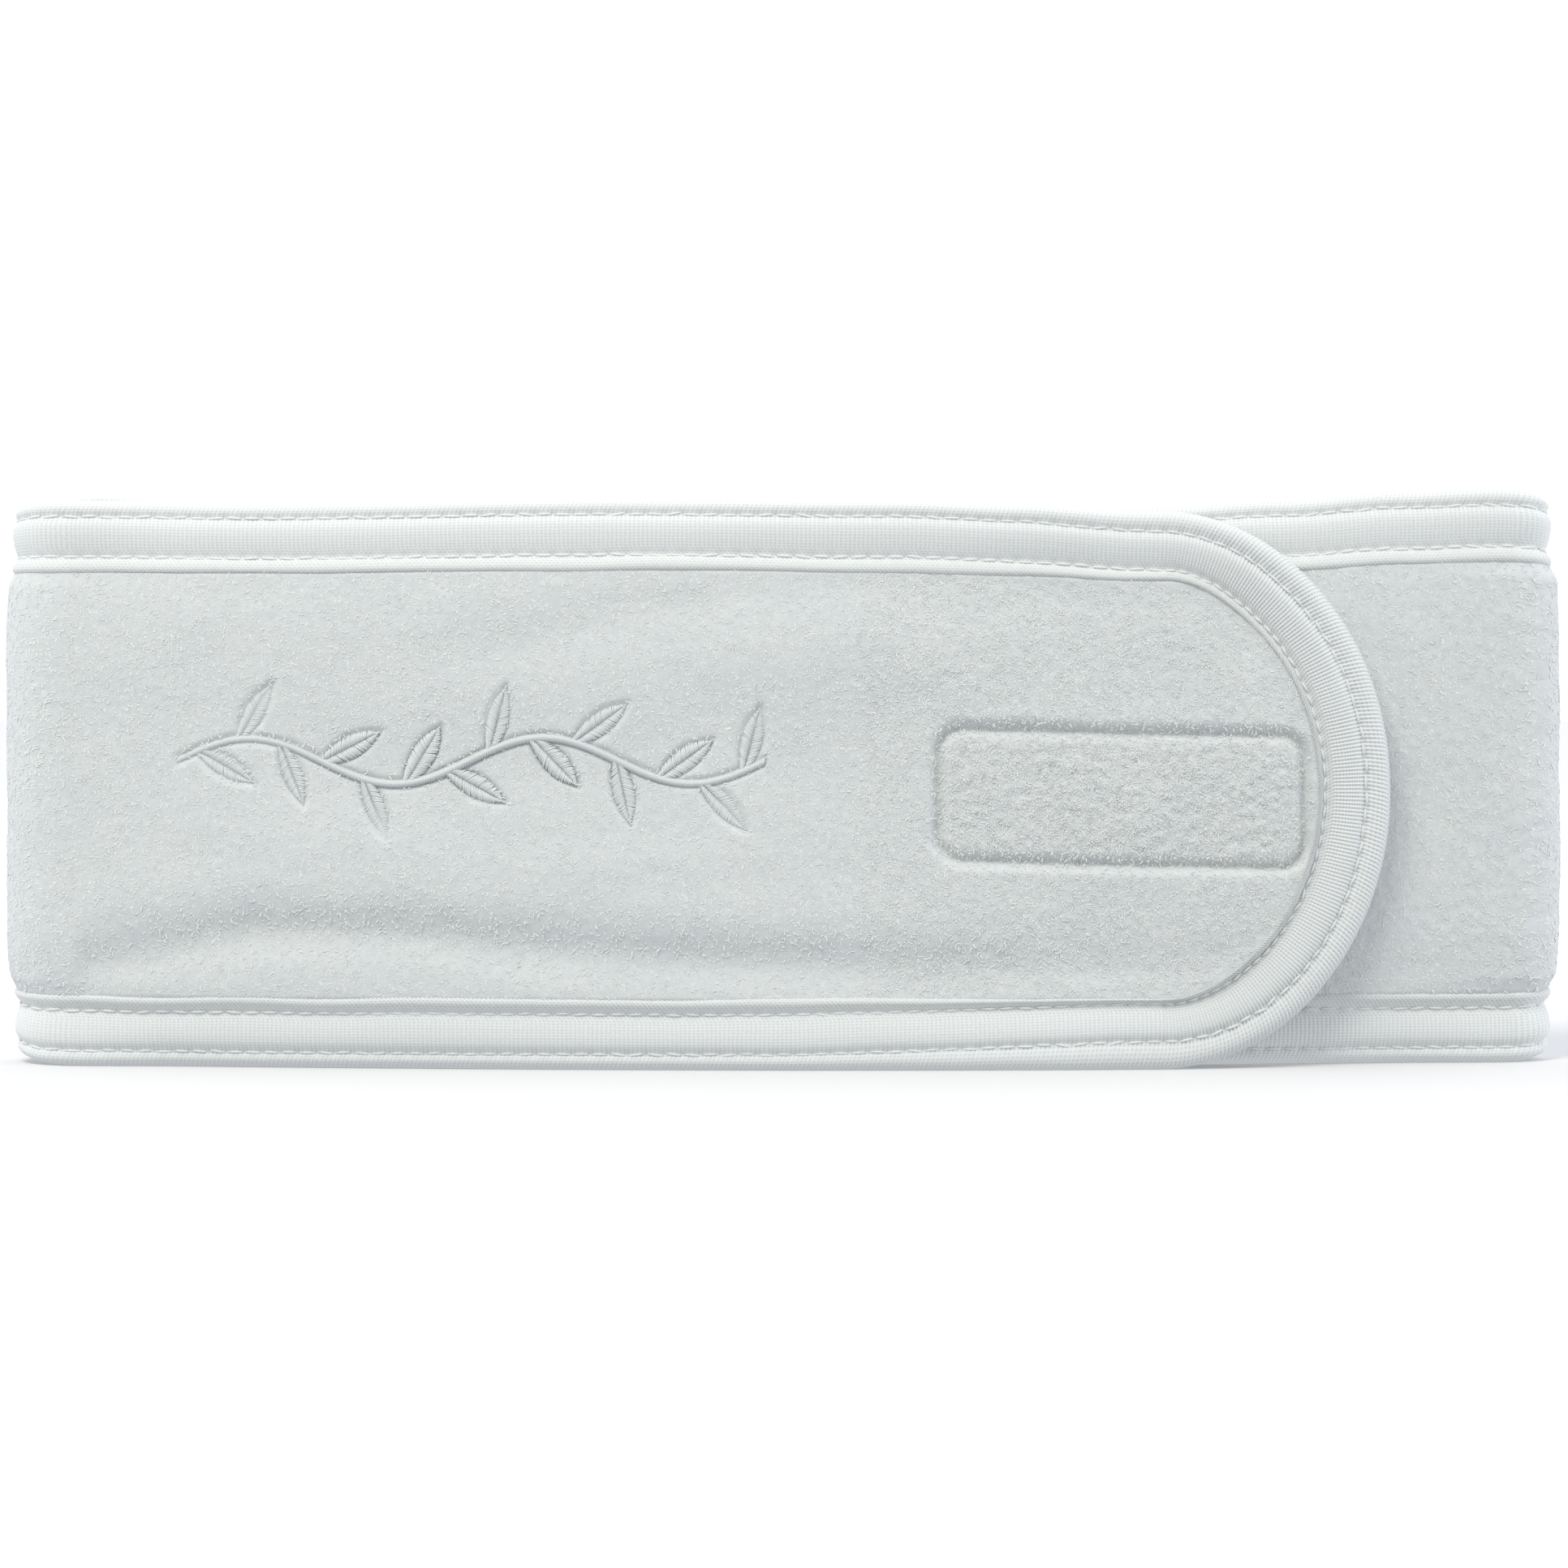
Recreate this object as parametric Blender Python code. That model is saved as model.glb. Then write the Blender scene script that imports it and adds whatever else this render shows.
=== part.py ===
"""Spa headband: a terry band bound with knit tape, closed into a flattened loop by a hook-and-loop flap.

The band is modelled the way it is sewn. Every layer is drawn flat, in strap coordinates (distance along the
strap, height, distance out from the middle of the cloth). It is then cut at the fold lines, and folded round
the flattened loop. The loop stands on its lower edge: +Z is up and the flap faces -Y. Units are metres.
"""

import math

import bmesh
import bpy
from mathutils import Vector

# The band.
WIDTH = 0.090
LOOP_HALF = 0.1250
END_REACH = 0.0375
GAP = 0.0003

# Thickness, measured out from the middle of the cloth.
MIDDLE = 0.00015
CLOTH_EDGE = 0.0015
CLOTH_FACE = 0.00265
PILE_ROUND = 0.0004
FACE = 0.0028
TAPE_IN = CLOTH_FACE + GAP
TAPE_OUT = TAPE_IN + 0.0007
LAYER_STEP = 2 * TAPE_OUT + GAP

# The binding tape, measured in from the edge of the band.
BINDING = 0.0115
BINDING_WALL = 0.0010
STITCH_ROWS = (0.0025, 0.0089)
STITCH_DEPTH = 0.0004
CLOTH_INSET = BINDING_WALL + GAP

# The loop seen from above: bowed front and back, joined by a loose fold and a tight one.
FRONT_BOW = 0.600
BACK_BOW = 1.500
LEFT_FOLD = 0.0095
BACK_SHIFT = 0.00032
UNDER_TIP_X = 0.005
FLAP_TIP_X = 0.0976
PEEL_X = 0.0145
FOLD_SHARE = 0.25

# Closure tapes and embroidery, as left and right ends in X, and centre height.
HOOK_X = (0.0247, 0.0827)
LOOP_X = (0.0190, 0.0930)
TAPE_HEIGHT = 0.020
TAPE_CORNER = 0.003
TAPE_Z = 0.0440
MOTIF_X = (-0.0970, -0.0030)
MOTIF_Z = 0.0490
MOTIF_WAVE = 0.0036
MOTIF_LEAVES = 14
LEAF_LENGTH = 0.0115
LEAF_WIDTH = 0.0038
STEM_WIDTH = 0.0014

TIP_STEPS = 14
BOW_STEP = 0.015
FOLD_STEP = math.radians(15)
SHARP_ANGLE = math.radians(50)

COLOURS = {
    "cloth": (0.86, 0.87, 0.85),
    "lining": (0.84, 0.85, 0.83),
    "binding": (0.82, 0.83, 0.82),
    "thread": (0.90, 0.90, 0.88),
    "hook": (0.80, 0.81, 0.80),
    "loop": (0.85, 0.85, 0.84),
}


def solve_right_fold():
    """The radius of the right fold, which touches the under end and the back."""

    def miss(radius):
        reach = LOOP_HALF - FACE - radius
        front = FRONT_BOW - math.sqrt((FRONT_BOW - LAYER_STEP - radius) ** 2 - reach**2)
        back = math.sqrt((BACK_BOW - radius) ** 2 - reach**2) - BACK_BOW
        return front - back - depth_between()

    low, high = 0.001, LEFT_FOLD
    for _ in range(60):
        middle = (low + high) / 2
        low, high = (middle, high) if miss(middle) < 0 else (low, middle)
    return (low + high) / 2


def depth_between():
    """From the middle of the front to the middle of the back, at the bow's deepest."""
    reach = LOOP_HALF - FACE - LEFT_FOLD
    front = FRONT_BOW - math.sqrt((FRONT_BOW - LEFT_FOLD) ** 2 - reach**2)
    back = math.sqrt((BACK_BOW - LEFT_FOLD) ** 2 - reach**2) - BACK_BOW
    return front - back


class Arc:
    """One stretch of the strap, always turning left. Heading 0 points to +X."""

    def __init__(self, centre, radius, start, end):
        self.centre = Vector(centre)
        self.radius = radius
        self.start = start
        self.end = end
        self.length = radius * (end - start)

    def at(self, heading):
        out = Vector((math.sin(heading), -math.cos(heading)))
        return self.centre + self.radius * out, out


def make_path():
    """Under end, right fold, back, left fold and front with its flap, in the order they are sewn."""
    half = depth_between() / 2
    front = (0.0, BACK_SHIFT + FRONT_BOW - half)
    back = (0.0, BACK_SHIFT + half - BACK_BOW)
    arcs = []
    right = solve_right_fold()
    reach = LOOP_HALF - FACE - right
    under_bow = FRONT_BOW - LAYER_STEP
    up = math.asin(reach / (under_bow - right))
    down = math.asin(reach / (BACK_BOW - right))
    fold = (reach, back[1] + (BACK_BOW - right) * math.cos(down))
    arcs.append(Arc(front, under_bow, math.asin(UNDER_TIP_X / under_bow), up))
    arcs.append(Arc(fold, right, up, math.pi - down))
    reach = LOOP_HALF - FACE - LEFT_FOLD
    left_down = math.asin(reach / (BACK_BOW - LEFT_FOLD))
    left_up = math.asin(reach / (FRONT_BOW - LEFT_FOLD))
    fold = (-reach, back[1] + (BACK_BOW - LEFT_FOLD) * math.cos(left_down))
    arcs.append(Arc(back, BACK_BOW, math.pi - down, math.pi + left_down))
    arcs.append(Arc(fold, LEFT_FOLD, math.pi + left_down, 2 * math.pi - left_up))
    tip = math.asin(FLAP_TIP_X / FRONT_BOW)
    arcs.append(Arc(front, FRONT_BOW, 2 * math.pi - left_up, 2 * math.pi + tip))
    return arcs


PATH = make_path()
STARTS = [sum(arc.length for arc in PATH[:index]) for index in range(len(PATH))]
LENGTH = STARTS[-1] + PATH[-1].length


def strap_at_x(index, x):
    """How far along the strap its arc number index passes x."""
    arc = PATH[index]
    turn = math.asin(x / arc.radius)
    base = 2 * math.pi if arc.start > math.pi else 0.0
    return STARTS[index] + (turn + base - arc.start) * arc.radius


def strap_in_fold(index, share):
    return STARTS[index] + PATH[index].length * share


RIGHT_LINES = (strap_in_fold(1, FOLD_SHARE), strap_in_fold(1, 1 - FOLD_SHARE))
LEFT_LINES = (strap_in_fold(3, FOLD_SHARE), strap_in_fold(3, 1 - FOLD_SHARE))
PEEL_LINE = strap_at_x(4, PEEL_X)


def make_stations():
    """Every place along the strap where the cloth may turn."""
    found = []
    for start, arc in zip(STARTS, PATH):
        turn = arc.end - arc.start
        step = FOLD_STEP if arc.radius < 0.05 else BOW_STEP / arc.radius
        count = math.ceil(turn / step)
        found += [(start + arc.length * i / count, *arc.at(arc.start + turn * i / count)) for i in range(count)]
    last = PATH[-1]
    found.append((LENGTH, *last.at(last.end)))
    return found


STATIONS = make_stations()


def folded(point):
    """A flat point (along, height, out) on the folded band."""
    along = min(max(point[0], 0.0), LENGTH)
    index = 0
    while index < len(STATIONS) - 2 and STATIONS[index + 1][0] < along:
        index += 1
    (s0, p0, n0), (s1, p1, n1) = STATIONS[index], STATIONS[index + 1]
    share = (along - s0) / (s1 - s0)
    place = p0.lerp(p1, share) + n0.lerp(n1, share) * point[2]
    return Vector((place.x, place.y, point[1]))


def outline(inset, steps=TIP_STEPS):
    """The flat strap's edge, moved in by inset: straight sides and a half ellipse at each end."""
    half = WIDTH / 2
    points = []
    for centre, sign in ((LENGTH - END_REACH, 1), (END_REACH, -1)):
        for index in range(steps + 1):
            turn = -math.pi / 2 + math.pi * index / steps
            normal = Vector((math.cos(turn) / END_REACH, math.sin(turn) / half)).normalized()
            edge = Vector((END_REACH * math.cos(turn), half * math.sin(turn))) - normal * inset
            points.append((centre + sign * edge.x, half + sign * edge.y))
    return points


def curve_object(name, points, closed=True):
    """A flat curve through the points."""
    curve = bpy.data.curves.new(name, "CURVE")
    curve.dimensions = "2D"
    spline = curve.splines.new("POLY")
    spline.points.add(len(points) - 1)
    for target, point in zip(spline.points, points):
        target.co = (point[0], point[1], 0.0, 1.0)
    spline.use_cyclic_u = closed
    obj = bpy.data.objects.new(name, curve)
    bpy.context.scene.collection.objects.link(obj)
    return obj


def taken_mesh(*objects):
    """The first object's finished mesh. All the objects are removed."""
    bpy.context.view_layer.update()
    graph = bpy.context.evaluated_depsgraph_get()
    mesh = bpy.data.meshes.new_from_object(objects[0].evaluated_get(graph))
    shape = bmesh.new()
    shape.from_mesh(mesh)
    bpy.data.meshes.remove(mesh)
    for obj in objects:
        bpy.data.objects.remove(obj)
    bmesh.ops.remove_doubles(shape, verts=shape.verts, dist=1e-7)
    bmesh.ops.recalc_face_normals(shape, faces=shape.faces)
    return shape


def slab(name, points, low, high):
    """A flat shape of even thickness, from low to high."""
    obj = curve_object(name, points)
    obj.data.fill_mode = "BOTH"
    obj.data.extrude = (high - low) / 2
    shape = taken_mesh(obj)
    bmesh.ops.translate(shape, verts=shape.verts, vec=(0, 0, (high + low) / 2))
    return shape


def raised(shape, face, rise):
    """Draws a face up out of its surroundings, and gives the face at the top."""
    face = bmesh.ops.extrude_discrete_faces(shape, faces=[face])["faces"][0]
    bmesh.ops.translate(shape, verts=face.verts, vec=(0, 0, rise))
    return face


def flat_cloth(side):
    """One layer of terry: thin where the binding grips it, full in the middle."""
    shape = bmesh.new()
    edge = [shape.verts.new((x, y, MIDDLE)) for x, y in outline(CLOTH_INSET)]
    top = shape.faces.new(edge)
    bottom = [shape.verts.new(vert.co) for vert in edge]
    shape.faces.new(list(reversed(bottom)))
    top = raised(shape, top, CLOTH_EDGE - MIDDLE)
    bmesh.ops.inset_region(
        shape, faces=[top], thickness=BINDING + GAP - CLOTH_INSET, use_even_offset=True, use_boundary=True
    )
    top = raised(shape, top, CLOTH_FACE - CLOTH_EDGE - PILE_ROUND)
    bmesh.ops.inset_region(
        shape, faces=[top], thickness=PILE_ROUND, depth=PILE_ROUND, use_even_offset=True, use_boundary=True
    )
    bmesh.ops.remove_doubles(shape, verts=shape.verts, dist=1e-7)
    if side < 0:
        bmesh.ops.scale(shape, verts=shape.verts, vec=(1, 1, -1))
        bmesh.ops.reverse_faces(shape, faces=shape.faces)
    return shape


def flat_binding():
    """The folded knit tape that wraps the whole edge, with a dip at each row of stitching."""
    inner = FACE - BINDING_WALL
    outer = [(0.0, 0.0013), (0.0006, 0.0022), (0.0014, FACE)]
    for row in STITCH_ROWS:
        outer += [(row - 0.0004, FACE), (row, FACE - STITCH_DEPTH), (row + 0.0004, FACE)]
    outer += [(BINDING - 0.0004, FACE), (BINDING, FACE - 0.0003)]
    side = outer + [(BINDING, inner), (BINDING_WALL, inner)]
    profile = side + [(inset, -out) for inset, out in reversed(side)]
    section = curve_object("binding_section", profile)
    ring = curve_object("binding_ring", outline(0.0))
    ring.data.bevel_mode = "OBJECT"
    ring.data.bevel_object = section
    return taken_mesh(ring, section)


def rounded_box(left, right, low, high, corner, steps=4):
    points = []
    for x, y, start in (
        (right - corner, low + corner, -90),
        (right - corner, high - corner, 0),
        (left + corner, high - corner, 90),
        (left + corner, low + corner, 180),
    ):
        for index in range(steps + 1):
            turn = math.radians(start + 90 * index / steps)
            points.append((x + corner * math.cos(turn), y + corner * math.sin(turn)))
    return points


def tape(name, index, ends, low, high):
    """One half of the closure: a patch with rounded corners, across the strap's arc number index."""
    left, right = (strap_at_x(index, x) for x in ends)
    bottom = TAPE_Z - TAPE_HEIGHT / 2
    return slab(name, rounded_box(left, right, bottom, bottom + TAPE_HEIGHT, TAPE_CORNER), low, high)


def stem_point(share):
    """A place on the embroidered stem and its slope, flat."""
    left, right = (strap_at_x(4, x) for x in MOTIF_X)
    turn = share * 2 * math.pi * 2
    along = left + (right - left) * share
    slope = MOTIF_WAVE * math.cos(turn) * 4 * math.pi / (right - left)
    return Vector((along, MOTIF_Z + MOTIF_WAVE * math.sin(turn))), math.atan(slope)


def leaf_outline(root, lean, steps=7):
    """A pointed leaf that grows from root, leaning by an angle from the strap's length."""
    along = Vector((math.cos(lean), math.sin(lean)))
    across = Vector((-along.y, along.x))
    sides = ([], [])
    for step in range(steps + 1):
        far = step / steps
        wide = math.sin(math.pi * far) ** 0.8 * LEAF_WIDTH / 2
        place = root + along * (far * LEAF_LENGTH - STEM_WIDTH / 2)
        sides[0].append(place - across * wide)
        sides[1].append(place + across * wide)
    return sides[0] + sides[1][-2:0:-1]


def flat_embroidery():
    """A leafy sprig of satin stitch: one waved stem with leaves on alternate sides."""
    centre = [stem_point(i / 32) for i in range(33)]
    sides = []
    for sign in (-1, 1):
        sides.append([p + Vector((-math.sin(a), math.cos(a))) * sign * STEM_WIDTH / 2 for p, a in centre])
    stem = mesh_object("embroidery", slab("stem", sides[0] + sides[1][::-1], TAPE_IN + 0.00006, TAPE_IN + 0.0004))
    leaves = []
    for index in range(MOTIF_LEAVES):
        root, slope = stem_point((index + 0.5) / MOTIF_LEAVES)
        lean = slope + math.radians(52 if index % 2 else -52)
        leaf = mesh_object(f"leaf_{index}", slab("leaf", leaf_outline(root, lean), TAPE_IN, TAPE_IN + 0.0005))
        joined = stem.modifiers.new("union", "BOOLEAN")
        joined.operation = "UNION"
        joined.solver = "EXACT"
        joined.object = leaf
        leaves.append(leaf)
    return taken_mesh(stem, *leaves)


def mesh_object(name, shape):
    """A new mesh object in the scene. It uses up the bmesh."""
    mesh = bpy.data.meshes.new(name)
    shape.to_mesh(mesh)
    shape.free()
    obj = bpy.data.objects.new(name, mesh)
    bpy.context.scene.collection.objects.link(obj)
    return obj


def split_at(shape, along, clear_below=False, clear_above=False):
    """Cuts across the strap, and closes the cut if one side is thrown away."""
    bmesh.ops.bisect_plane(
        shape,
        geom=shape.verts[:] + shape.edges[:] + shape.faces[:],
        dist=1e-7,
        plane_co=(along, 0, 0),
        plane_no=(1, 0, 0),
        clear_inner=clear_below,
        clear_outer=clear_above,
    )
    if clear_below or clear_above:
        bmesh.ops.holes_fill(shape, edges=[edge for edge in shape.edges if edge.is_boundary], sides=0)


def piece(name, flat, start, end, look, above=None):
    """The stretch of a flat layer from start to end, folded into place. above keeps its upper or lower part."""
    shape = flat.copy()
    ends = [vert.co.x for vert in shape.verts]
    low, high = min(ends), max(ends)
    for along, _, _ in STATIONS:
        if max(start, low) + 1e-4 < along < min(end, high) - 1e-4:
            split_at(shape, along)
    if start > low:
        split_at(shape, start + GAP / 2, clear_below=True)
    if end < high:
        split_at(shape, end - GAP / 2, clear_above=True)
    if above is not None:
        away = [vert for vert in shape.verts if (vert.co.y > WIDTH / 2) != above]
        bmesh.ops.delete(shape, geom=away, context="VERTS")
    for vert in shape.verts:
        vert.co = folded(vert.co)
    if shape.calc_volume(signed=True) < 0:
        bmesh.ops.reverse_faces(shape, faces=shape.faces)
    obj = mesh_object(name, shape)
    obj.data.shade_smooth()
    obj.data.set_sharp_from_angle(angle=SHARP_ANGLE)
    dress(obj, look)
    return obj


def dress(obj, look):
    """Gives the piece its own material and puts it in the headband's collection."""
    material = bpy.data.materials.new(obj.name)
    material.use_nodes = True
    shader = material.node_tree.nodes["Principled BSDF"]
    shader.inputs["Base Color"].default_value = (*COLOURS[look], 1.0)
    shader.inputs["Roughness"].default_value = 0.9
    material.diffuse_color = (*COLOURS[look], 1.0)
    obj.data.materials.append(material)
    bpy.context.scene.collection.objects.unlink(obj)
    COLLECTION.objects.link(obj)


def hinge(name, along, parent=None):
    """An upright axis on the outer face, where the strap bends at a place along it."""
    axis = bpy.data.objects.new(f"{name}_axis", None)
    axis.empty_display_size = WIDTH / 4
    place = folded(Vector((along, WIDTH / 2, FACE)))
    axis.parent = parent
    axis.location = place - (parent.matrix_world.translation if parent else Vector())
    COLLECTION.objects.link(axis)
    bpy.context.view_layer.update()
    return axis


def hang(pieces, axis):
    """Parents pieces to the axis that they turn about, without moving them."""
    for obj in pieces:
        obj.parent = axis
        obj.matrix_parent_inverse = axis.matrix_world.inverted()


def build():
    """Cuts each flat layer at the fold lines, one stretch for each stiff part of the band."""
    outer = flat_cloth(1)
    inner = flat_cloth(-1)
    binding = flat_binding()
    stretches = (
        ("under_end", -1.0, RIGHT_LINES[0]),
        ("right_fold", *RIGHT_LINES),
        ("back", RIGHT_LINES[1], LEFT_LINES[0]),
        ("left_fold", *LEFT_LINES),
        ("front", LEFT_LINES[1], PEEL_LINE),
        ("flap", PEEL_LINE, LENGTH + 1.0),
    )
    stiff = {}
    for name, start, end in stretches:
        layers = [
            piece(f"{name}_outer_cloth", outer, start, end, "cloth"),
            piece(f"{name}_inner_cloth", inner, start, end, "lining"),
        ]
        if name in ("under_end", "flap"):
            layers.append(piece(f"{name}_binding", binding, start, end, "binding"))
        else:
            layers.append(piece(f"{name}_binding_top", binding, start, end, "binding", above=True))
            layers.append(piece(f"{name}_binding_bottom", binding, start, end, "binding", above=False))
        stiff[name] = layers
    hooks = tape("hook", 4, HOOK_X, -TAPE_OUT, -TAPE_IN)
    loops = tape("loop", 0, LOOP_X, TAPE_IN, TAPE_OUT)
    stiff["flap"].append(piece("hook_tape", hooks, 0.0, LENGTH, "hook"))
    stiff["under_end"].append(piece("loop_tape", loops, 0.0, LENGTH, "loop"))
    stiff["front"].append(piece("embroidery", flat_embroidery(), 0.0, LENGTH, "thread"))
    left = hinge("left_unfold", LEFT_LINES[0])
    left_front = hinge("left_unfold_front", LEFT_LINES[1], left)
    peel = hinge("flap_peel", PEEL_LINE, left_front)
    right = hinge("right_unfold", RIGHT_LINES[1])
    right_end = hinge("right_unfold_end", RIGHT_LINES[0], right)
    for name, axis in (
        ("left_fold", left),
        ("front", left_front),
        ("flap", peel),
        ("right_fold", right),
        ("under_end", right_end),
    ):
        hang(stiff[name], axis)


for old in list(bpy.data.objects):
    bpy.data.objects.remove(old)
COLLECTION = bpy.data.collections.new("spa_headband")
bpy.context.scene.collection.children.link(COLLECTION)
build()
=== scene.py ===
"""The looks of the spa headband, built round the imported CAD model.

Every cloth surface is drawn flat, in strap coordinates (s along the strap, z across it, n out from its
middle), and folded round the loop with place(), as the CAD is. Lengths are in metres unless a comment says
millimetres.
"""

import math

import bpy
import numpy as np
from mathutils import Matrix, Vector


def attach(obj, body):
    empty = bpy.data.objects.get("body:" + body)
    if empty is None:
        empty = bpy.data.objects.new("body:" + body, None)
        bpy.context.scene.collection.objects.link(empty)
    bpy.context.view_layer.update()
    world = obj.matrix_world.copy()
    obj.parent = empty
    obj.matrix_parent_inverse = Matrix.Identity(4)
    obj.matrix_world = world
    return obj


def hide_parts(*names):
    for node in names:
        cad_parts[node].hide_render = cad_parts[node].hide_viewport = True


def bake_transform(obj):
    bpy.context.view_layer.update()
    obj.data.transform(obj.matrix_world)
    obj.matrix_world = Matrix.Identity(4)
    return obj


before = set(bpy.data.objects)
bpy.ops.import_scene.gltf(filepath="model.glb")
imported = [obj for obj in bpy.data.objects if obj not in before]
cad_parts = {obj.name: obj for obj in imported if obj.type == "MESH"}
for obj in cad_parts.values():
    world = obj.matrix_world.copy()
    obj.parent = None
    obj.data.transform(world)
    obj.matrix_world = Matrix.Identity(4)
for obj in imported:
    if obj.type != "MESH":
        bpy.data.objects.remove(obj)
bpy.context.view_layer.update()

# The CAD's sizes.
WIDTH = 0.090
HALF = WIDTH / 2
LOOP_HALF = 0.1250
END_REACH = 0.0375
FACE = 0.0028
TAPE_OUT = 0.00365
LAYER_STEP = 2 * TAPE_OUT + 0.0003
FRONT_BOW = 0.600
BACK_BOW = 1.500
LEFT_FOLD = 0.0095
BACK_SHIFT = 0.00032
UNDER_TIP_X = 0.005
FLAP_TIP_X = 0.0976
PEEL_X = 0.0145
FOLD_SHARE = 0.25
BINDING = 0.0115

MM = 0.001
# How far in from the edge the terry starts, under the binding, and the curls of its pile.
TUCKED = 0.0103
PILE_FROM = 0.0117


def bow_gap(radius, step):
    """How deep the front's and the back's bows are together, at a fold of this radius."""
    reach = LOOP_HALF - FACE - radius
    front = FRONT_BOW - math.sqrt((FRONT_BOW - step - radius) ** 2 - reach**2)
    return front - math.sqrt((BACK_BOW - radius) ** 2 - reach**2) + BACK_BOW


def right_fold_radius():
    """The radius that lets the under end lie one layer behind the front."""
    low, high = 0.001, LEFT_FOLD
    for _ in range(60):
        middle = (low + high) / 2
        short = bow_gap(middle, LAYER_STEP) < bow_gap(LEFT_FOLD, 0.0)
        low, high = (middle, high) if short else (low, middle)
    return (low + high) / 2


def make_arcs():
    """Rows of centre x, centre y, radius, first heading and last heading, for the strap's five arcs."""
    half = bow_gap(LEFT_FOLD, 0.0) / 2
    front_y = BACK_SHIFT + FRONT_BOW - half
    back_y = BACK_SHIFT + half - BACK_BOW
    under_bow = FRONT_BOW - LAYER_STEP
    rows = []
    right = right_fold_radius()
    reach = LOOP_HALF - FACE - right
    up = math.asin(reach / (under_bow - right))
    down = math.asin(reach / (BACK_BOW - right))
    rows.append((0, front_y, under_bow, math.asin(UNDER_TIP_X / under_bow), up))
    rows.append((reach, back_y + (BACK_BOW - right) * math.cos(down), right, up, math.pi - down))
    reach = LOOP_HALF - FACE - LEFT_FOLD
    left_down = math.asin(reach / (BACK_BOW - LEFT_FOLD))
    left_up = math.asin(reach / (FRONT_BOW - LEFT_FOLD))
    fold_y = back_y + (BACK_BOW - LEFT_FOLD) * math.cos(left_down)
    rows.append((0, back_y, BACK_BOW, math.pi - down, math.pi + left_down))
    rows.append((-reach, fold_y, LEFT_FOLD, math.pi + left_down, 2 * math.pi - left_up))
    tip = math.asin(FLAP_TIP_X / FRONT_BOW)
    rows.append((0, front_y, FRONT_BOW, 2 * math.pi - left_up, 2 * math.pi + tip))
    return np.array(rows)


ARCS = make_arcs()
LENGTHS = ARCS[:, 2] * (ARCS[:, 4] - ARCS[:, 3])
STARTS = np.concatenate([[0.0], np.cumsum(LENGTHS)[:-1]])
LENGTH = float(LENGTHS.sum())
UNDER, RIGHT, BACK, LEFT, FRONT = range(5)


def at_x(arc, x):
    """The distance along the strap at which this arc passes x, in metres."""
    radius, first = ARCS[arc, 2], ARCS[arc, 3]
    turn = np.arcsin(np.asarray(x, float) / radius)
    if arc == BACK:
        turn = math.pi - turn
    elif first > math.pi:
        turn = turn + 2 * math.pi
    return STARTS[arc] + (turn - first) * radius


def in_fold(arc, share):
    return float(STARTS[arc] + LENGTHS[arc] * share)


RIGHT_LINES = (in_fold(RIGHT, FOLD_SHARE), in_fold(RIGHT, 1 - FOLD_SHARE))
LEFT_LINES = (in_fold(LEFT, FOLD_SHARE), in_fold(LEFT, 1 - FOLD_SHARE))
PEEL_LINE = float(at_x(FRONT, PEEL_X))


def heading(s):
    """The strap's direction at s, and which arc it is on."""
    index = np.clip(np.searchsorted(STARTS, s, side="right") - 1, 0, 4)
    return ARCS[index, 3] + (s - STARTS[index]) / ARCS[index, 2], index


# How far the upper edge stands above or below its nominal height: arc, x, and the rise in millimetres.
RISE_KEYS = [
    (UNDER, 0.040, 0.0), (UNDER, 0.058, 0.2), (UNDER, 0.080, 1.4), (UNDER, 0.100, 2.8),
    (UNDER, 0.114, 3.3), (BACK, 0.114, 2.6), (BACK, 0.095, 2.0), (BACK, 0.060, 0.0),
    (BACK, -0.070, 0.0), (BACK, -0.095, 1.0), (BACK, -0.112, 2.6), (FRONT, -0.112, 1.2),
    (FRONT, -0.085, 0.8), (FRONT, -0.026, 1.5), (FRONT, 0.018, 1.1), (FRONT, 0.037, 0.4),
    (FRONT, 0.056, -0.6), (FRONT, 0.095, -1.2),
]
RISE_S = np.array([at_x(arc, x) for arc, x, _ in RISE_KEYS])
RISE_MM = np.array([rise for _, _, rise in RISE_KEYS])


def eased(t):
    t = np.clip(t, 0.0, 1.0)
    return t * t * (3 - 2 * t)


def rise(s):
    """A smooth curve through the rises."""
    index = np.clip(np.searchsorted(RISE_S, s, side="right") - 1, 0, len(RISE_S) - 2)
    t = eased((s - RISE_S[index]) / (RISE_S[index + 1] - RISE_S[index]))
    return (RISE_MM[index] * (1 - t) + RISE_MM[index + 1] * t) * MM


# How far the upper and the lower edge tip back, in millimetres, at places on the under end and the front.
LEAN_S = np.concatenate([
    at_x(UNDER, np.array([0.045, 0.070, 0.100, 0.114])),
    at_x(FRONT, np.array([-0.112, -0.100, -0.060, -0.020, 0.010, 0.045, 0.075, 0.0970])),
])
TOP_LEAN = np.array([0.0, 1.5, 1.4, 0.0, 0.0, 1.5, 1.5, 1.1, 0.0, -1.2, -1.0, 0.0])
FOOT_LEAN = np.array([0.0, 1.8, 1.8, 0.0, 0.0, 2.0, 1.8, 0.9, 0.2, -0.8, -0.8, 0.0])


def lean(s, z):
    """How far back a point of the front or the under end lies. Only the edges tip."""
    top = np.interp(s, LEAN_S, TOP_LEAN) * np.clip((z - 0.074) / 0.016, 0, 1) ** 1.4
    foot = np.interp(s, LEAN_S, FOOT_LEAN) * np.clip((0.013 - z) / 0.013, 0, 1) ** 1.4
    return (top + foot) * MM


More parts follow.
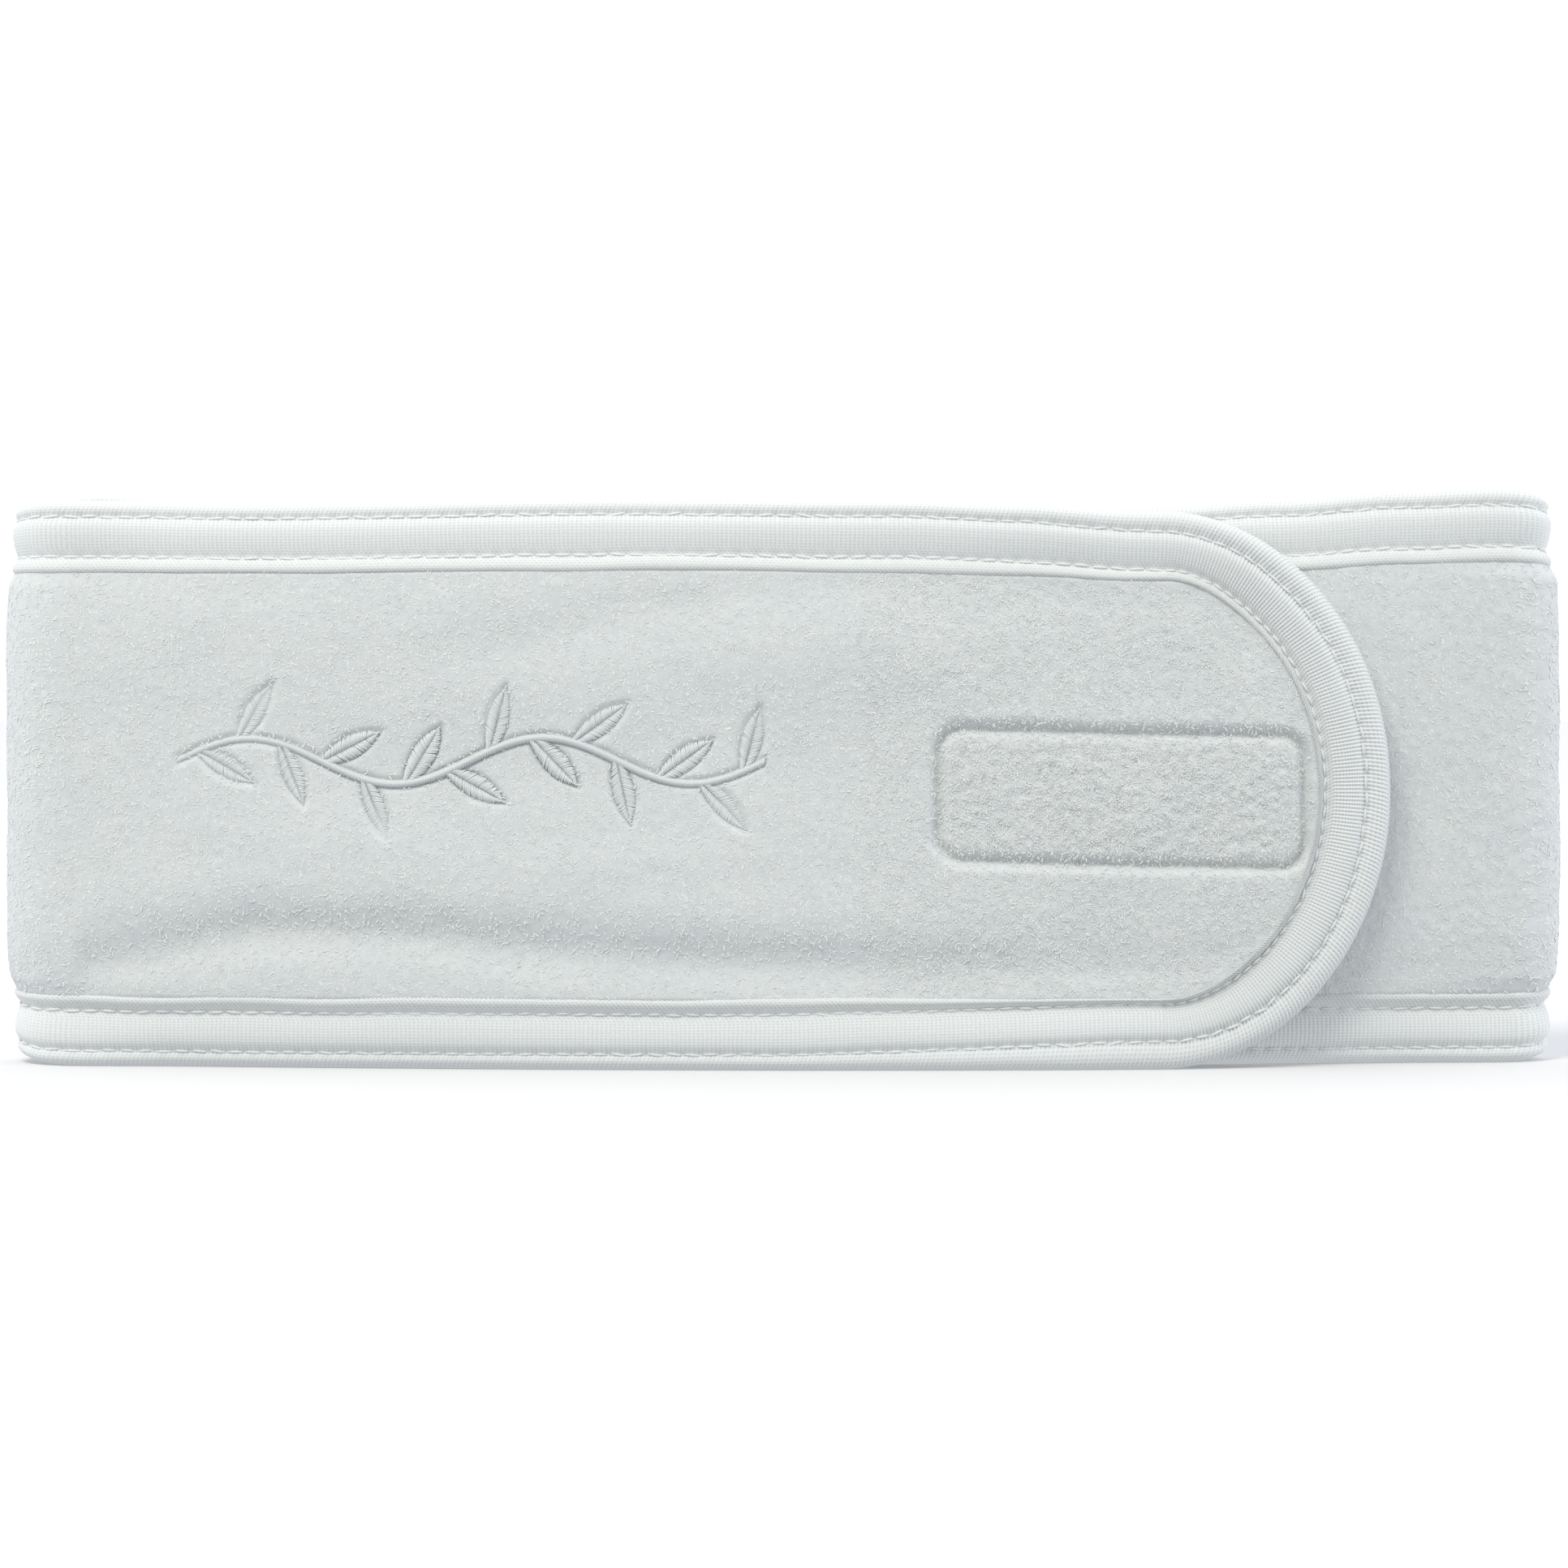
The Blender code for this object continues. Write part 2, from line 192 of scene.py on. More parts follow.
def place(s, z, n):
    """Folds flat points onto the loop."""
    s, z, n = np.broadcast_arrays(np.asarray(s, float), z, n)
    turn, index = heading(s)
    radius = ARCS[index, 2] + n - lean(s, z)
    x = ARCS[index, 0] + radius * np.sin(turn)
    y = ARCS[index, 1] - radius * np.cos(turn)
    up = np.clip(z / WIDTH, 0.0, 1.0) ** 1.5
    left = np.exp(-(((s - in_fold(LEFT, 0.5)) / 0.0065) ** 2))
    right = np.exp(-(((s - in_fold(RIGHT, 0.5)) / 0.0040) ** 2))
    # Both edges are pinched toward the middle where the strap folds.
    pinch = (1.6 * left + 1.2 * right) * MM
    pinch = pinch * np.sign(HALF - z) * np.clip(np.abs(z - HALF) / HALF, 0, 1) ** 3
    return np.stack([x, y, z + rise(s) * up + pinch], -1)


def inset(s, z):
    """How far a flat point lies in from the strap's edge, whose ends are half ellipses."""
    y = z - HALF
    x = np.maximum(s - (LENGTH - END_REACH), END_REACH - s)
    x = np.maximum(x, 0.0)
    size = np.sqrt((x / END_REACH) ** 2 + (y / HALF) ** 2) + 1e-9
    slope = np.sqrt((x / END_REACH**2) ** 2 + (y / HALF**2) ** 2) / size + 1e-9
    return np.where(x > 0, (1 - size) / slope, HALF - np.abs(y))


def tape_spread(s):
    """How much wider the tape lies round the flap's tip than along the sides."""
    return 1.1 * MM * eased((s - (LENGTH - 0.036)) / 0.022)


def noise(u, v, size, seed):
    """Smooth random values from -1 to 1, with lumps about as large as size."""
    table = np.random.default_rng(seed).uniform(-1, 1, (257, 257))
    a, b = u / size, v / size
    i, j = np.floor(a).astype(int), np.floor(b).astype(int)
    fa, fb = eased(a - i), eased(b - j)
    i, j = i % 256, j % 256
    low = table[i, j] * (1 - fa) + table[i + 1, j] * fa
    high = table[i, j + 1] * (1 - fa) + table[i + 1, j + 1] * fa
    return low * (1 - fb) + high * fb


# -------- embroidery outline

MOTIF_X = (-0.0970, -0.0030)
MOTIF_Z = 0.0490
MOTIF_WAVE = 0.0036
MOTIF_LEAVES = 14
LEAF_LENGTH = 0.0115
LEAF_WIDTH = 0.0038
STEM_WIDTH = 0.0014
MOTIF_S = (float(at_x(FRONT, MOTIF_X[0])), float(at_x(FRONT, MOTIF_X[1])))


def stem_point(share):
    """A point of the waving stem, from 0 to 1 along it, and the stem's slope there."""
    turn = np.asarray(share) * 4 * math.pi
    s = MOTIF_S[0] + (MOTIF_S[1] - MOTIF_S[0]) * np.asarray(share)
    slope = MOTIF_WAVE * np.cos(turn) * 4 * math.pi / (MOTIF_S[1] - MOTIF_S[0])
    return np.stack([s, MOTIF_Z + MOTIF_WAVE * np.sin(turn)], -1), np.arctan(slope)


def motif_leaves():
    """Each leaf's root and tilt, which alternates from side to side."""
    found = []
    for index in range(MOTIF_LEAVES):
        root, slope = stem_point((index + 0.5) / MOTIF_LEAVES)
        found.append((root, float(slope) + math.radians(52 if index % 2 else -52)))
    return found


def motif_depth(s, z):
    """How far inside the motif's outline a flat point is. Negative is outside."""
    best = np.full(np.shape(s), -1.0)
    near = (s > MOTIF_S[0] - 0.02) & (s < MOTIF_S[1] + 0.02)
    ps, pz = s[near], z[near]
    depth = np.full(ps.shape, -1.0)
    for root, tilt in motif_leaves():
        u = (ps - root[0]) * math.cos(tilt) + (pz - root[1]) * math.sin(tilt) + STEM_WIDTH / 2
        v = -(ps - root[0]) * math.sin(tilt) + (pz - root[1]) * math.cos(tilt)
        far = np.clip(u / LEAF_LENGTH, 0.0, 1.0)
        wide = np.sin(math.pi * far) ** 0.8 * LEAF_WIDTH / 2
        over = np.maximum(-u, u - LEAF_LENGTH)
        depth = np.maximum(depth, np.minimum(wide - np.abs(v), -over))
    share = (ps - MOTIF_S[0]) / (MOTIF_S[1] - MOTIF_S[0])
    point, slope = stem_point(np.clip(share, 0, 1))
    across = np.abs(pz - point[..., 1]) * np.cos(slope)
    over = np.maximum(MOTIF_S[0] - ps, ps - MOTIF_S[1])
    depth = np.maximum(depth, np.minimum(STEM_WIDTH / 2 - across, -over))
    best[near] = depth
    return best


# -------- the cloth's own relief

# The closure tapes, as in the CAD, and where the hook tape's seam shows on the flap's face.
HOOK_X = (0.0247, 0.0827)
LOOP_X = (0.0190, 0.0930)
TAPE_HEIGHT = 0.020
TAPE_Z = 0.0440
HOOK_MIDDLE = 0.0537
SHADOW_X = (0.0243, 0.0832)
# The long crease below the embroidery: x, its height in millimetres, and its strength from 0 to 1.
CREASE = np.array([
    (-0.118, 15.5, 0.0), (-0.112, 16.5, 0.6), (-0.085, 21.3, 1.0), (-0.062, 21.3, 1.0),
    (-0.030, 18.2, 0.9), (0.000, 16.8, 0.8), (0.024, 16.0, 0.5), (0.045, 15.5, 0.0),
])
# Broad soft hollows (negative) and swells in the outer terry of the front: x, z, reach along, reach across,
# slant in degrees, and depth, in millimetres.
WAVES = [
    (-50.0, 49.0, 52.0, 9.5, 0.0, -0.75),
    (-34.0, 69.5, 28.0, 5.0, 11.0, -0.75),
    (-90.0, 66.0, 16.0, 9.0, 70.0, -0.35),
    (-20.0, 33.5, 22.0, 3.2, 2.0, 0.35),
    (-70.0, 36.0, 20.0, 4.0, -4.0, 0.35),
    (10.0, 47.0, 8.0, 15.0, 0.0, -0.55),
    (8.0, 66.0, 24.0, 7.0, 4.0, 0.55),
    (54.0, 44.0, 34.0, 15.0, 0.0, 0.75),
    (50.0, 17.0, 26.0, 4.5, 0.0, -0.75),
    (-104.0, 48.0, 7.0, 24.0, 0.0, 0.30),
]
CREASE_S = at_x(FRONT, np.clip(CREASE[:, 0], -0.114, 1))


def rounded_distance(u, v, half_u, half_v, corner):
    """Signed distance to a rounded rectangle's edge, negative inside."""
    a, b = np.abs(u) - half_u + corner, np.abs(v) - half_v + corner
    return np.hypot(np.maximum(a, 0), np.maximum(b, 0)) + np.minimum(np.maximum(a, b), 0) - corner


def hook_shadow(s, z):
    """Signed distance to the seam that holds the hook patch, as it shows on the flap's face."""
    left, right = at_x(FRONT, SHADOW_X[0]), at_x(FRONT, SHADOW_X[1])
    u = s - (left + right) / 2
    v = z - (0.0436 - 0.012 * u)
    return rounded_distance(u, v, (right - left) / 2, 0.0107 + 0.006 * u, 0.0042)


def loop_shadow(s, z):
    """Signed distance to the loop tape's edge."""
    left, right = at_x(UNDER, LOOP_X[0]), at_x(UNDER, LOOP_X[1])
    return rounded_distance(s - (left + right) / 2, z - TAPE_Z, (right - left) / 2, TAPE_HEIGHT / 2, 0.003)


def outer_relief(s, z):
    """How far out the outer terry stands, before its pile."""
    d = inset(s, z)
    reach = np.hypot(s - (LENGTH - END_REACH), z - HALF)
    # The tape's lip lies further in where the tape spreads, and the cloth starts there.
    d = d - tape_spread(s + BINDING * (s - (LENGTH - END_REACH)) / np.maximum(reach, 0.01))
    n = 1.7 + 1.20 * eased((d - TUCKED) / 0.0011) + 0.50 * eased((d - 0.0114) / 0.010)
    n = n + (0.25 * noise(s, z, 0.022, 11) + 0.14 * noise(s, z, 0.008, 12)) * eased((d - BINDING) / 0.006)
    # The cloth is fullest where it turns at the folds.
    full = np.exp(-(((s - in_fold(LEFT, 0.5)) / 0.020) ** 2))
    full = full + 1.4 * np.exp(-(((s - in_fold(RIGHT, 0.5)) / 0.015) ** 2))
    n = n + 0.85 * full * eased((d - 0.0110) / 0.003)
    on_front = s > STARTS[FRONT] - 0.004
    for x, height, along, across, slant, depth in WAVES:
        u, v = s - float(at_x(FRONT, x * MM)), z - height * MM
        turn = math.radians(slant)
        a = (u * math.cos(turn) + v * math.sin(turn)) / (along * MM)
        b = (v * math.cos(turn) - u * math.sin(turn)) / (across * MM)
        n = n + np.where(on_front, depth * np.exp(-(a**2) - b**2), 0) * eased((d - 0.0112) / 0.005)
    centre = np.interp(s, CREASE_S, CREASE[:, 1]) * MM
    amount = np.where(on_front, np.interp(s, CREASE_S, CREASE[:, 2], 0, 0), 0)
    n = n - 1.45 * amount * np.exp(-(((z - centre) / 0.0040) ** 2))
    n = n + 0.55 * amount * np.exp(-(((z - centre - 0.0085) / 0.0055) ** 2))
    seam = hook_shadow(s, z)
    n = n - 1.40 * np.exp(-((seam / 0.0010) ** 2)) - 0.40 * eased(0.5 - seam / 0.0012)
    inside = motif_depth(s, z)
    n = n - 0.55 * eased((inside + 0.0007) / 0.0010)
    # It lies flat under the loop tape.
    n = np.where(loop_shadow(s, z) < 0.0004, np.minimum(n, 2.85), n)
    return n * MM


def outer_pile(s, z):
    """The uneven surface of the terry's pile, coarsest on the crushed patch."""
    crushed = eased(-hook_shadow(s, z) / 0.002)
    flap = eased((s - at_x(FRONT, 0.010)) / 0.020)
    soft = 0.040 * noise(s, z, 0.0026, 21) + 0.035 * noise(s, z, 0.0013, 22)
    fine = 0.030 * noise(s, z, 0.0009, 23)
    flap = np.maximum(flap, eased((STARTS[RIGHT] + 0.01 - s) / 0.01))
    return (soft * (1 + 0.4 * flap + 0.4 * crushed) + fine * (1 + 1.6 * flap + 3.6 * crushed)) * MM


def lining_relief(s, z):
    """How far in the lining lies, as a negative distance out."""
    d = inset(s, z)
    n = 1.55 + 0.9 * eased((d - 0.0110) / 0.0022) + 0.35 * eased((d - 0.0125) / 0.012)
    n = n + 0.12 * noise(s, z, 0.016, 31) + 0.10 * noise(s, z, 0.006, 32)
    n = n + 0.07 * noise(s, z, 0.0026, 33) + 0.08 * noise(s, z, 0.0012, 34)
    # It lies flat under the hook tape.
    hook = rounded_distance(s - at_x(FRONT, HOOK_MIDDLE), z - TAPE_Z, 0.0295, 0.0105, 0.004)
    n = np.where(hook < 0.001, np.minimum(n, 2.80), n)
    return -n * MM


# -------- meshes


def add_object(name, points, faces, uv, look):
    """A smooth mesh object. uv holds each point's flat place, one unit to 100 mm."""
    mesh = bpy.data.meshes.new(name)
    mesh.vertices.add(len(points))
    mesh.vertices.foreach_set("co", np.ascontiguousarray(points, np.float32).ravel())
    sizes = np.array([faces.shape[1]] * len(faces))
    mesh.loops.add(int(sizes.sum()))
    mesh.loops.foreach_set("vertex_index", faces.ravel().astype(np.int32))
    mesh.polygons.add(len(faces))
    starts = np.concatenate([[0], np.cumsum(sizes)[:-1]])
    mesh.polygons.foreach_set("loop_start", starts.astype(np.int32))
    mesh.polygons.foreach_set("use_smooth", np.ones(len(faces), bool))
    layer = mesh.uv_layers.new(name="flat")
    layer.data.foreach_set("uv", (uv[faces.ravel()] * 10).astype(np.float32).ravel())
    mesh.update(calc_edges=True)
    mesh.validate()
    mesh.materials.append(look)
    obj = bpy.data.objects.new(name, mesh)
    bpy.context.scene.collection.objects.link(obj)
    return obj


def grid_faces(rows, columns, closed=False):
    """Quads over a grid of points. closed joins the last column to the first."""
    across = np.arange(columns if closed else columns - 1)
    i, j = np.meshgrid(np.arange(rows - 1), across, indexing="ij")
    k = (j + 1) % columns
    quads = [i * columns + j, (i + 1) * columns + j, (i + 1) * columns + k, i * columns + k]
    return np.stack(quads, -1).reshape(-1, 4)


def tiled(faces, count, points_each):
    """The same faces for each of count copies."""
    first = np.arange(count) * points_each
    return (faces[None] + first[:, None, None]).reshape(-1, faces.shape[1])


# Where each stretch of cloth starts and ends along the strap.
SEAM_FRONT = float(at_x(FRONT, -0.1040))
MID_BACK = float(at_x(BACK, 0.0))
STRETCHES = {
    "under_end": (0.0, in_fold(RIGHT, 0.5)),
    "right_side": (in_fold(RIGHT, 0.5), MID_BACK),
    "left_side": (MID_BACK, in_fold(LEFT, 0.5)),
    "left_turn": (in_fold(LEFT, 0.5), SEAM_FRONT),
    "front": (SEAM_FRONT, LENGTH),
}
# The two bodies that it bends between, the line that it bends on, and how far before and after that line the
# bend reaches, in millimetres.
BENDS = {
    "under_end": ("under_end", "right_fold", RIGHT_LINES[0], 5.0, 1.25),
    "right_side": ("right_fold", "back", RIGHT_LINES[1], 1.25, 5.0),
    "left_side": ("back", "left_fold", LEFT_LINES[0], 5.5, 4.1),
    "left_turn": ("left_fold", "front", LEFT_LINES[1], 4.1, 5.5),
    "front": ("front", "flap", PEEL_LINE, 5.5, 5.5),
}


def bend(obj, stretch):
    """Bakes a piece's placement into its mesh. The hinge at its stretch's fold line is worked out but not
    used.
    """
    first, second, line, before, after = BENDS[stretch]
    hinge = place(line, HALF, FACE)
    hinge[2] = HALF
    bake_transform(obj)
    return obj


def strap_samples(start, end, step):
    """Places along the strap, closer together where an end narrows."""
    points = [start]
    while points[-1] < end - 1e-6:
        here = points[-1]
        room = max(min(here, LENGTH - here) - 0.0102, 0.0)  # Just outside TUCKED.
        points.append(here + max(min(step, 0.12 * MM + room * 0.25), 0.05 * MM))
    points[-1] = end
    return np.array(points)


def cloth(name, stretch, side, step, look):
    """One layer of terry over a stretch, tucked under the binding."""
    start, end = STRETCHES[stretch]
    s = strap_samples(max(start, TUCKED + 0.1 * MM), min(end, LENGTH - TUCKED - 0.1 * MM), step)
    reach = np.maximum(np.maximum(s - (LENGTH - END_REACH), END_REACH - s), 0) / (END_REACH - TUCKED)
    tall = (HALF - TUCKED) * np.sqrt(np.maximum(1 - reach**2, 0.0))
    v = np.linspace(-1, 1, int(2 * (HALF - TUCKED) / step) + 1)
    z = HALF + tall[:, None] * v[None, :]
    s = np.repeat(s[:, None], len(v), axis=1)
    n = outer_relief(s, z) + outer_pile(s, z) if side > 0 else lining_relief(s, z)
    points = place(s, z, n).reshape(-1, 3)
    faces = grid_faces(*s.shape)[:, ::side]
    return bend(add_object(name, points, faces, np.stack([s, z], -1).reshape(-1, 2), look), stretch)


# -------- pile


def curls(name, stretch, density, look, seed, low=0.0, high=WIDTH, s_range=None, short=False):
    """Curled loops of pile on the outer terry, as narrow arched ribbons, density of them to a square
    millimetre. Short ones are grains."""
    rng = np.random.default_rng(seed)
    start, end = s_range or STRETCHES[stretch]
    count = int((end - start) * (high - low) * 1e6 * density)
    s = rng.uniform(start, end, count)
    z = rng.uniform(low, high, count)
    room = PILE_FROM + tape_spread(s + 0.010)
    keep = (inset(s, z) > room) & (motif_depth(s, z) < -0.0001) & (loop_shadow(s, z) > 0.0006)
    if short:
        keep &= rng.uniform(0, 1, count) < np.where(hook_shadow(s, z) < 0, 1.0, 0.40)
    s, z = s[keep], z[keep]
    count = len(s)
    facing = rng.uniform(0, 2 * math.pi, count)
    long = rng.uniform(0.40, 1.05, count) * MM * (0.45 if short else 1.0)
    tall = rng.uniform(0.02, 0.08, count) * MM * (2.2 if short else 1.0)
    wide = rng.uniform(0.06, 0.10, count) * MM * (1.3 if short else 1.0)
    curl = rng.uniform(-2.0, 2.0, count)
    parts = 3 if short else 4
    steps = np.linspace(0, 1, parts)
    base = outer_relief(s, z) + outer_pile(s, z)
    turn = facing[:, None] + curl[:, None] * (steps - 0.5)[None]
    du = np.cumsum(np.cos(turn) * long[:, None] / parts, axis=1)
    dv = np.cumsum(np.sin(turn) * long[:, None] / parts, axis=1)
    arch = np.sin(math.pi * (0.08 + 0.84 * steps))[None] * tall[:, None]
    rows = []
    for across, lift in ((-1, -0.01 * MM), (0, 0.02 * MM), (1, -0.01 * MM)):
        ss = s[:, None] + du - np.sin(turn) * wide[:, None] * across
        zz = z[:, None] + dv + np.cos(turn) * wide[:, None] * across
        rows.append(np.stack([ss, zz, base[:, None] + arch + lift + 0.02 * MM], -1))
    flat = np.stack(rows, 2)
    points = place(*np.moveaxis(flat, -1, 0)).reshape(-1, 3)
    faces = tiled(grid_faces(parts, 3), count, parts * 3)
    return bend(add_object(name, points, faces, flat[..., :2].reshape(-1, 2), look), stretch)


# -------- binding

# The tape's section on the outer face: inset from the edge and distance out, in millimetres.
SECTION = np.array([
    (0.00, 0.0), (0.05, 0.90), (0.25, 1.75), (0.65, 2.40), (1.20, 2.72), (1.75, 2.72),
    (2.20, 2.56), (2.55, 2.42), (2.90, 2.58), (3.40, 2.92), (4.10, 3.14), (5.20, 3.16),
    (6.60, 2.94), (7.80, 2.60), (8.50, 2.38), (8.90, 2.28), (9.25, 2.48), (9.75, 2.92),
    (10.40, 3.26), (10.95, 3.24), (11.35, 2.98), (11.55, 2.50), (11.50, 2.05), (11.20, 1.80),
])
# The two rows of stitches, in from the edge, and the same places along the section. COURSE is the height of
# one row of the knit.
STITCH_ROWS = (2.55 * MM, 8.90 * MM)
ROWS_ALONG = (4.60 * MM, 11.15 * MM)
COURSE = 0.48 * MM


def smooth_section(count):
    """Evenly spaced points on the section, rounded between its given points."""
    steps = np.concatenate([[0], np.cumsum(np.hypot(*np.diff(SECTION, axis=0).T))])
    fine = np.linspace(0, steps[-1], 600)
    d = np.interp(fine, steps, SECTION[:, 0])
    n = np.interp(fine, steps, SECTION[:, 1])
    kernel = np.hanning(31) / np.hanning(31).sum()
    d = np.convolve(np.pad(d, 15, mode="edge"), kernel, "valid")
    n = np.convolve(np.pad(n, 15, mode="reflect", reflect_type="odd"), kernel, "valid")
    along = np.linspace(0, steps[-1], count)
    return np.interp(along, fine, d) * MM, np.interp(along, fine, n) * MM, along * MM


def make_ring():
    """The strap's edge as (distance, s, z, inward s, inward z), from where the flap's lower curve starts."""
    turn = np.linspace(-math.pi / 2, math.pi / 2, 721)
    ellipse = np.stack([END_REACH * np.cos(turn), HALF * np.sin(turn)], -1)
    normal = np.stack([-np.cos(turn) / END_REACH, -np.sin(turn) / HALF], -1)
    normal /= np.linalg.norm(normal, axis=1)[:, None]
    far = np.concatenate([ellipse + (LENGTH - END_REACH, HALF), normal], 1)
    near = np.concatenate([(END_REACH, HALF) - ellipse, -normal], 1)
    points = np.concatenate([far, near, far[:1]])
    steps = np.hypot(*np.diff(points[:, :2], axis=0).T)
    return np.concatenate([np.concatenate([[0], np.cumsum(steps)])[:, None], points], 1)


RING = make_ring()
RING_LENGTH = float(RING[-1, 0])
# Both fit a whole number of times round the edge.
STITCH_PITCH = RING_LENGTH / round(RING_LENGTH / (2.95 * MM))
RIB = RING_LENGTH / round(RING_LENGTH / (0.70 * MM))
TIP_ARC = float(RING[720, 0])


def edge_at(a):
    """The edge and its inward direction, a metres round it."""
    a = np.mod(a, RING_LENGTH)
    s, z, ns, nz = (np.interp(a, RING[:, 0], RING[:, column]) for column in range(1, 5))
    size = np.hypot(ns, nz)
    return s, z, ns / size, nz / size


def edge_of(s, top):
    """The distance round the edge at a place s on a straight side."""
    if top:
        return TIP_ARC + (LENGTH - END_REACH - s)
    return RING_LENGTH - (LENGTH - END_REACH - s)


def signed_round(a):
    """The same distance round the edge, from minus half its length to half its length."""
    return np.mod(a + RING_LENGTH / 2, RING_LENGTH) - RING_LENGTH / 2


# How far in the seams wander on the tape round the flap's end, at distances round the edge.
SEAM_A = np.array([-60.0, -30.0, -8.0, 25.0, 65.0, 105.0, 128.0, 160.0]) * MM
SEAM_IN = np.array([0.0, 1.0, 1.9, 2.0, 2.0, 1.8, 0.8, 0.0]) * MM


def tape_point(a, d, n):
    """A point of the binding: a round the edge, d in from it and n out."""
    s, z, ns, nz = edge_at(a)
    wander = np.interp(signed_round(a), SEAM_A, SEAM_IN)
    near = np.clip(d / STITCH_ROWS[0], 0, 1) - 0.15 * np.clip((d - 3 * MM) / (6 * MM), 0, 1)
    near = near * np.clip((11.6 * MM - d) / (2.6 * MM), 0, 1)
    d = d + wander * near + tape_spread(s) * np.clip((d - 6 * MM) / (5 * MM), 0, 1)
    return s + ns * d, z + nz * d, n


def knit(a, q, side):
    """The relief of the ribs in metres, and how far the knit is pulled along, in ribs. Round the flap's end
    the knit is stretched and its ribs are deeper."""
    skew = 0.75 * np.clip(q - 10.0 * MM, 0, 1) + 0.35 * np.clip(4.6 * MM - q, 0, 1)
    pull = skew * side / RIB + 0.12 * noise(np.mod(a, RING_LENGTH), q, 0.006, 41)
    rib = 0.5 - 0.5 * np.cos(2 * math.pi * (a / RIB + pull))
    around = signed_round(a)
    stretched = eased((around + 0.020) / 0.04) * eased((TIP_ARC + 0.010 - around) / 0.03)
    rolled = eased((3.4 * MM - q) / (1.5 * MM)) * (1 - 0.7 * stretched)
    deep = (0.080 - 0.045 * rolled) * (1 + 1.9 * stretched + 1.4 * eased((q - 11.8 * MM) / (0.8 * MM)))
    return -deep * (1 - rib) * MM, pull


def binding(name, stretch, a, look, outside=60, inside=20):
    """The tape round the edge, through the places a, with so many points across each face."""
    count = len(a)
    outer_d, outer_n, outer_q = smooth_section(outside)
    inner_d, inner_n, inner_q = smooth_section(inside)
    d = np.concatenate([inner_d[::-1], outer_d[1:]])
    n = np.concatenate([-inner_n[::-1], outer_n[1:]])
    q = np.concatenate([inner_q[::-1], outer_q[1:]])
    side = np.concatenate([-np.ones(len(inner_d)), np.ones(len(outer_d) - 1)])
    tangent = np.stack([np.gradient(d), np.gradient(n)], -1)
    tangent /= np.linalg.norm(tangent, axis=1)[:, None]
    out_d, out_n = -tangent[:, 1], tangent[:, 0]
    aa, qq = np.meshgrid(a, q, indexing="ij")
    relief, pull = knit(aa, qq, side[None])
    # Where the places are too far apart to draw ribs, the tape lies at their middle height.
    coarse = np.gradient(a) > 0.6 * RIB
    relief[coarse] = -0.04 * MM
    # The thread gathers the tape between stitches, and the whole tape wavers a little.
    for row in ROWS_ALONG:
        near = np.exp(-(((qq - row) / (0.60 * MM)) ** 2))
        relief -= 0.15 * MM * near * (0.5 + 0.5 * np.cos(2 * math.pi * aa / STITCH_PITCH))
    around = np.mod(aa, RING_LENGTH)
    relief += 0.10 * MM * noise(around, qq * side[None], 0.011, 42) * eased(qq / (3 * MM))
    sway = 0.22 * MM * noise(around, side[None] * 0.5 + 0 * qq, 0.014, 43)
    sway *= eased((qq - 6 * MM) / (5 * MM))
    dd = d[None] + relief * out_d[None] + sway
    nn = n[None] + relief * out_n[None]
    dd = np.maximum(dd, 0.0)
    ss, zz, nn = tape_point(aa, dd, nn)
    points = place(ss, zz, nn).reshape(-1, 3)
    uv = np.stack([aa + pull * RIB, qq * side[None]], -1).reshape(-1, 2)
    return bend(add_object(name, points, grid_faces(count, len(d)), uv, look), stretch)


def rods(paths, radius, sides=6):
    """Round threads through rows of flat points (count, steps, 3). Each tapers at its ends. Returns the flat
    points and the faces."""
    count, steps, _ = paths.shape
    along = np.gradient(paths, axis=1)
    along /= np.linalg.norm(along, axis=2)[..., None] + 1e-12
    across = np.cross(along, np.array([0.0, 0.0, 1.0]))
    across /= np.linalg.norm(across, axis=2)[..., None] + 1e-12
    up = np.cross(across, along)
    thick = np.sin(math.pi * np.linspace(0.06, 0.94, steps)) ** 0.45
    turn = np.arange(sides) * 2 * math.pi / sides
    turn = turn[None, None, :, None]
    ring = across[:, :, None] * np.cos(turn) + up[:, :, None] * np.sin(turn)
    size = np.broadcast_to(np.asarray(radius, float), (count,))
    flat = paths[:, :, None] + ring * thick[None, :, None, None] * size[:, None, None, None]
    return flat.reshape(-1, 3), tiled(grid_faces(steps, sides, closed=True), count, steps * sides)


def add_threads(name, flat, faces, look):
    """An object of the flat threads from rods(), folded onto the loop."""
    return add_object(name, place(*flat.T), faces, flat[:, :2], look)


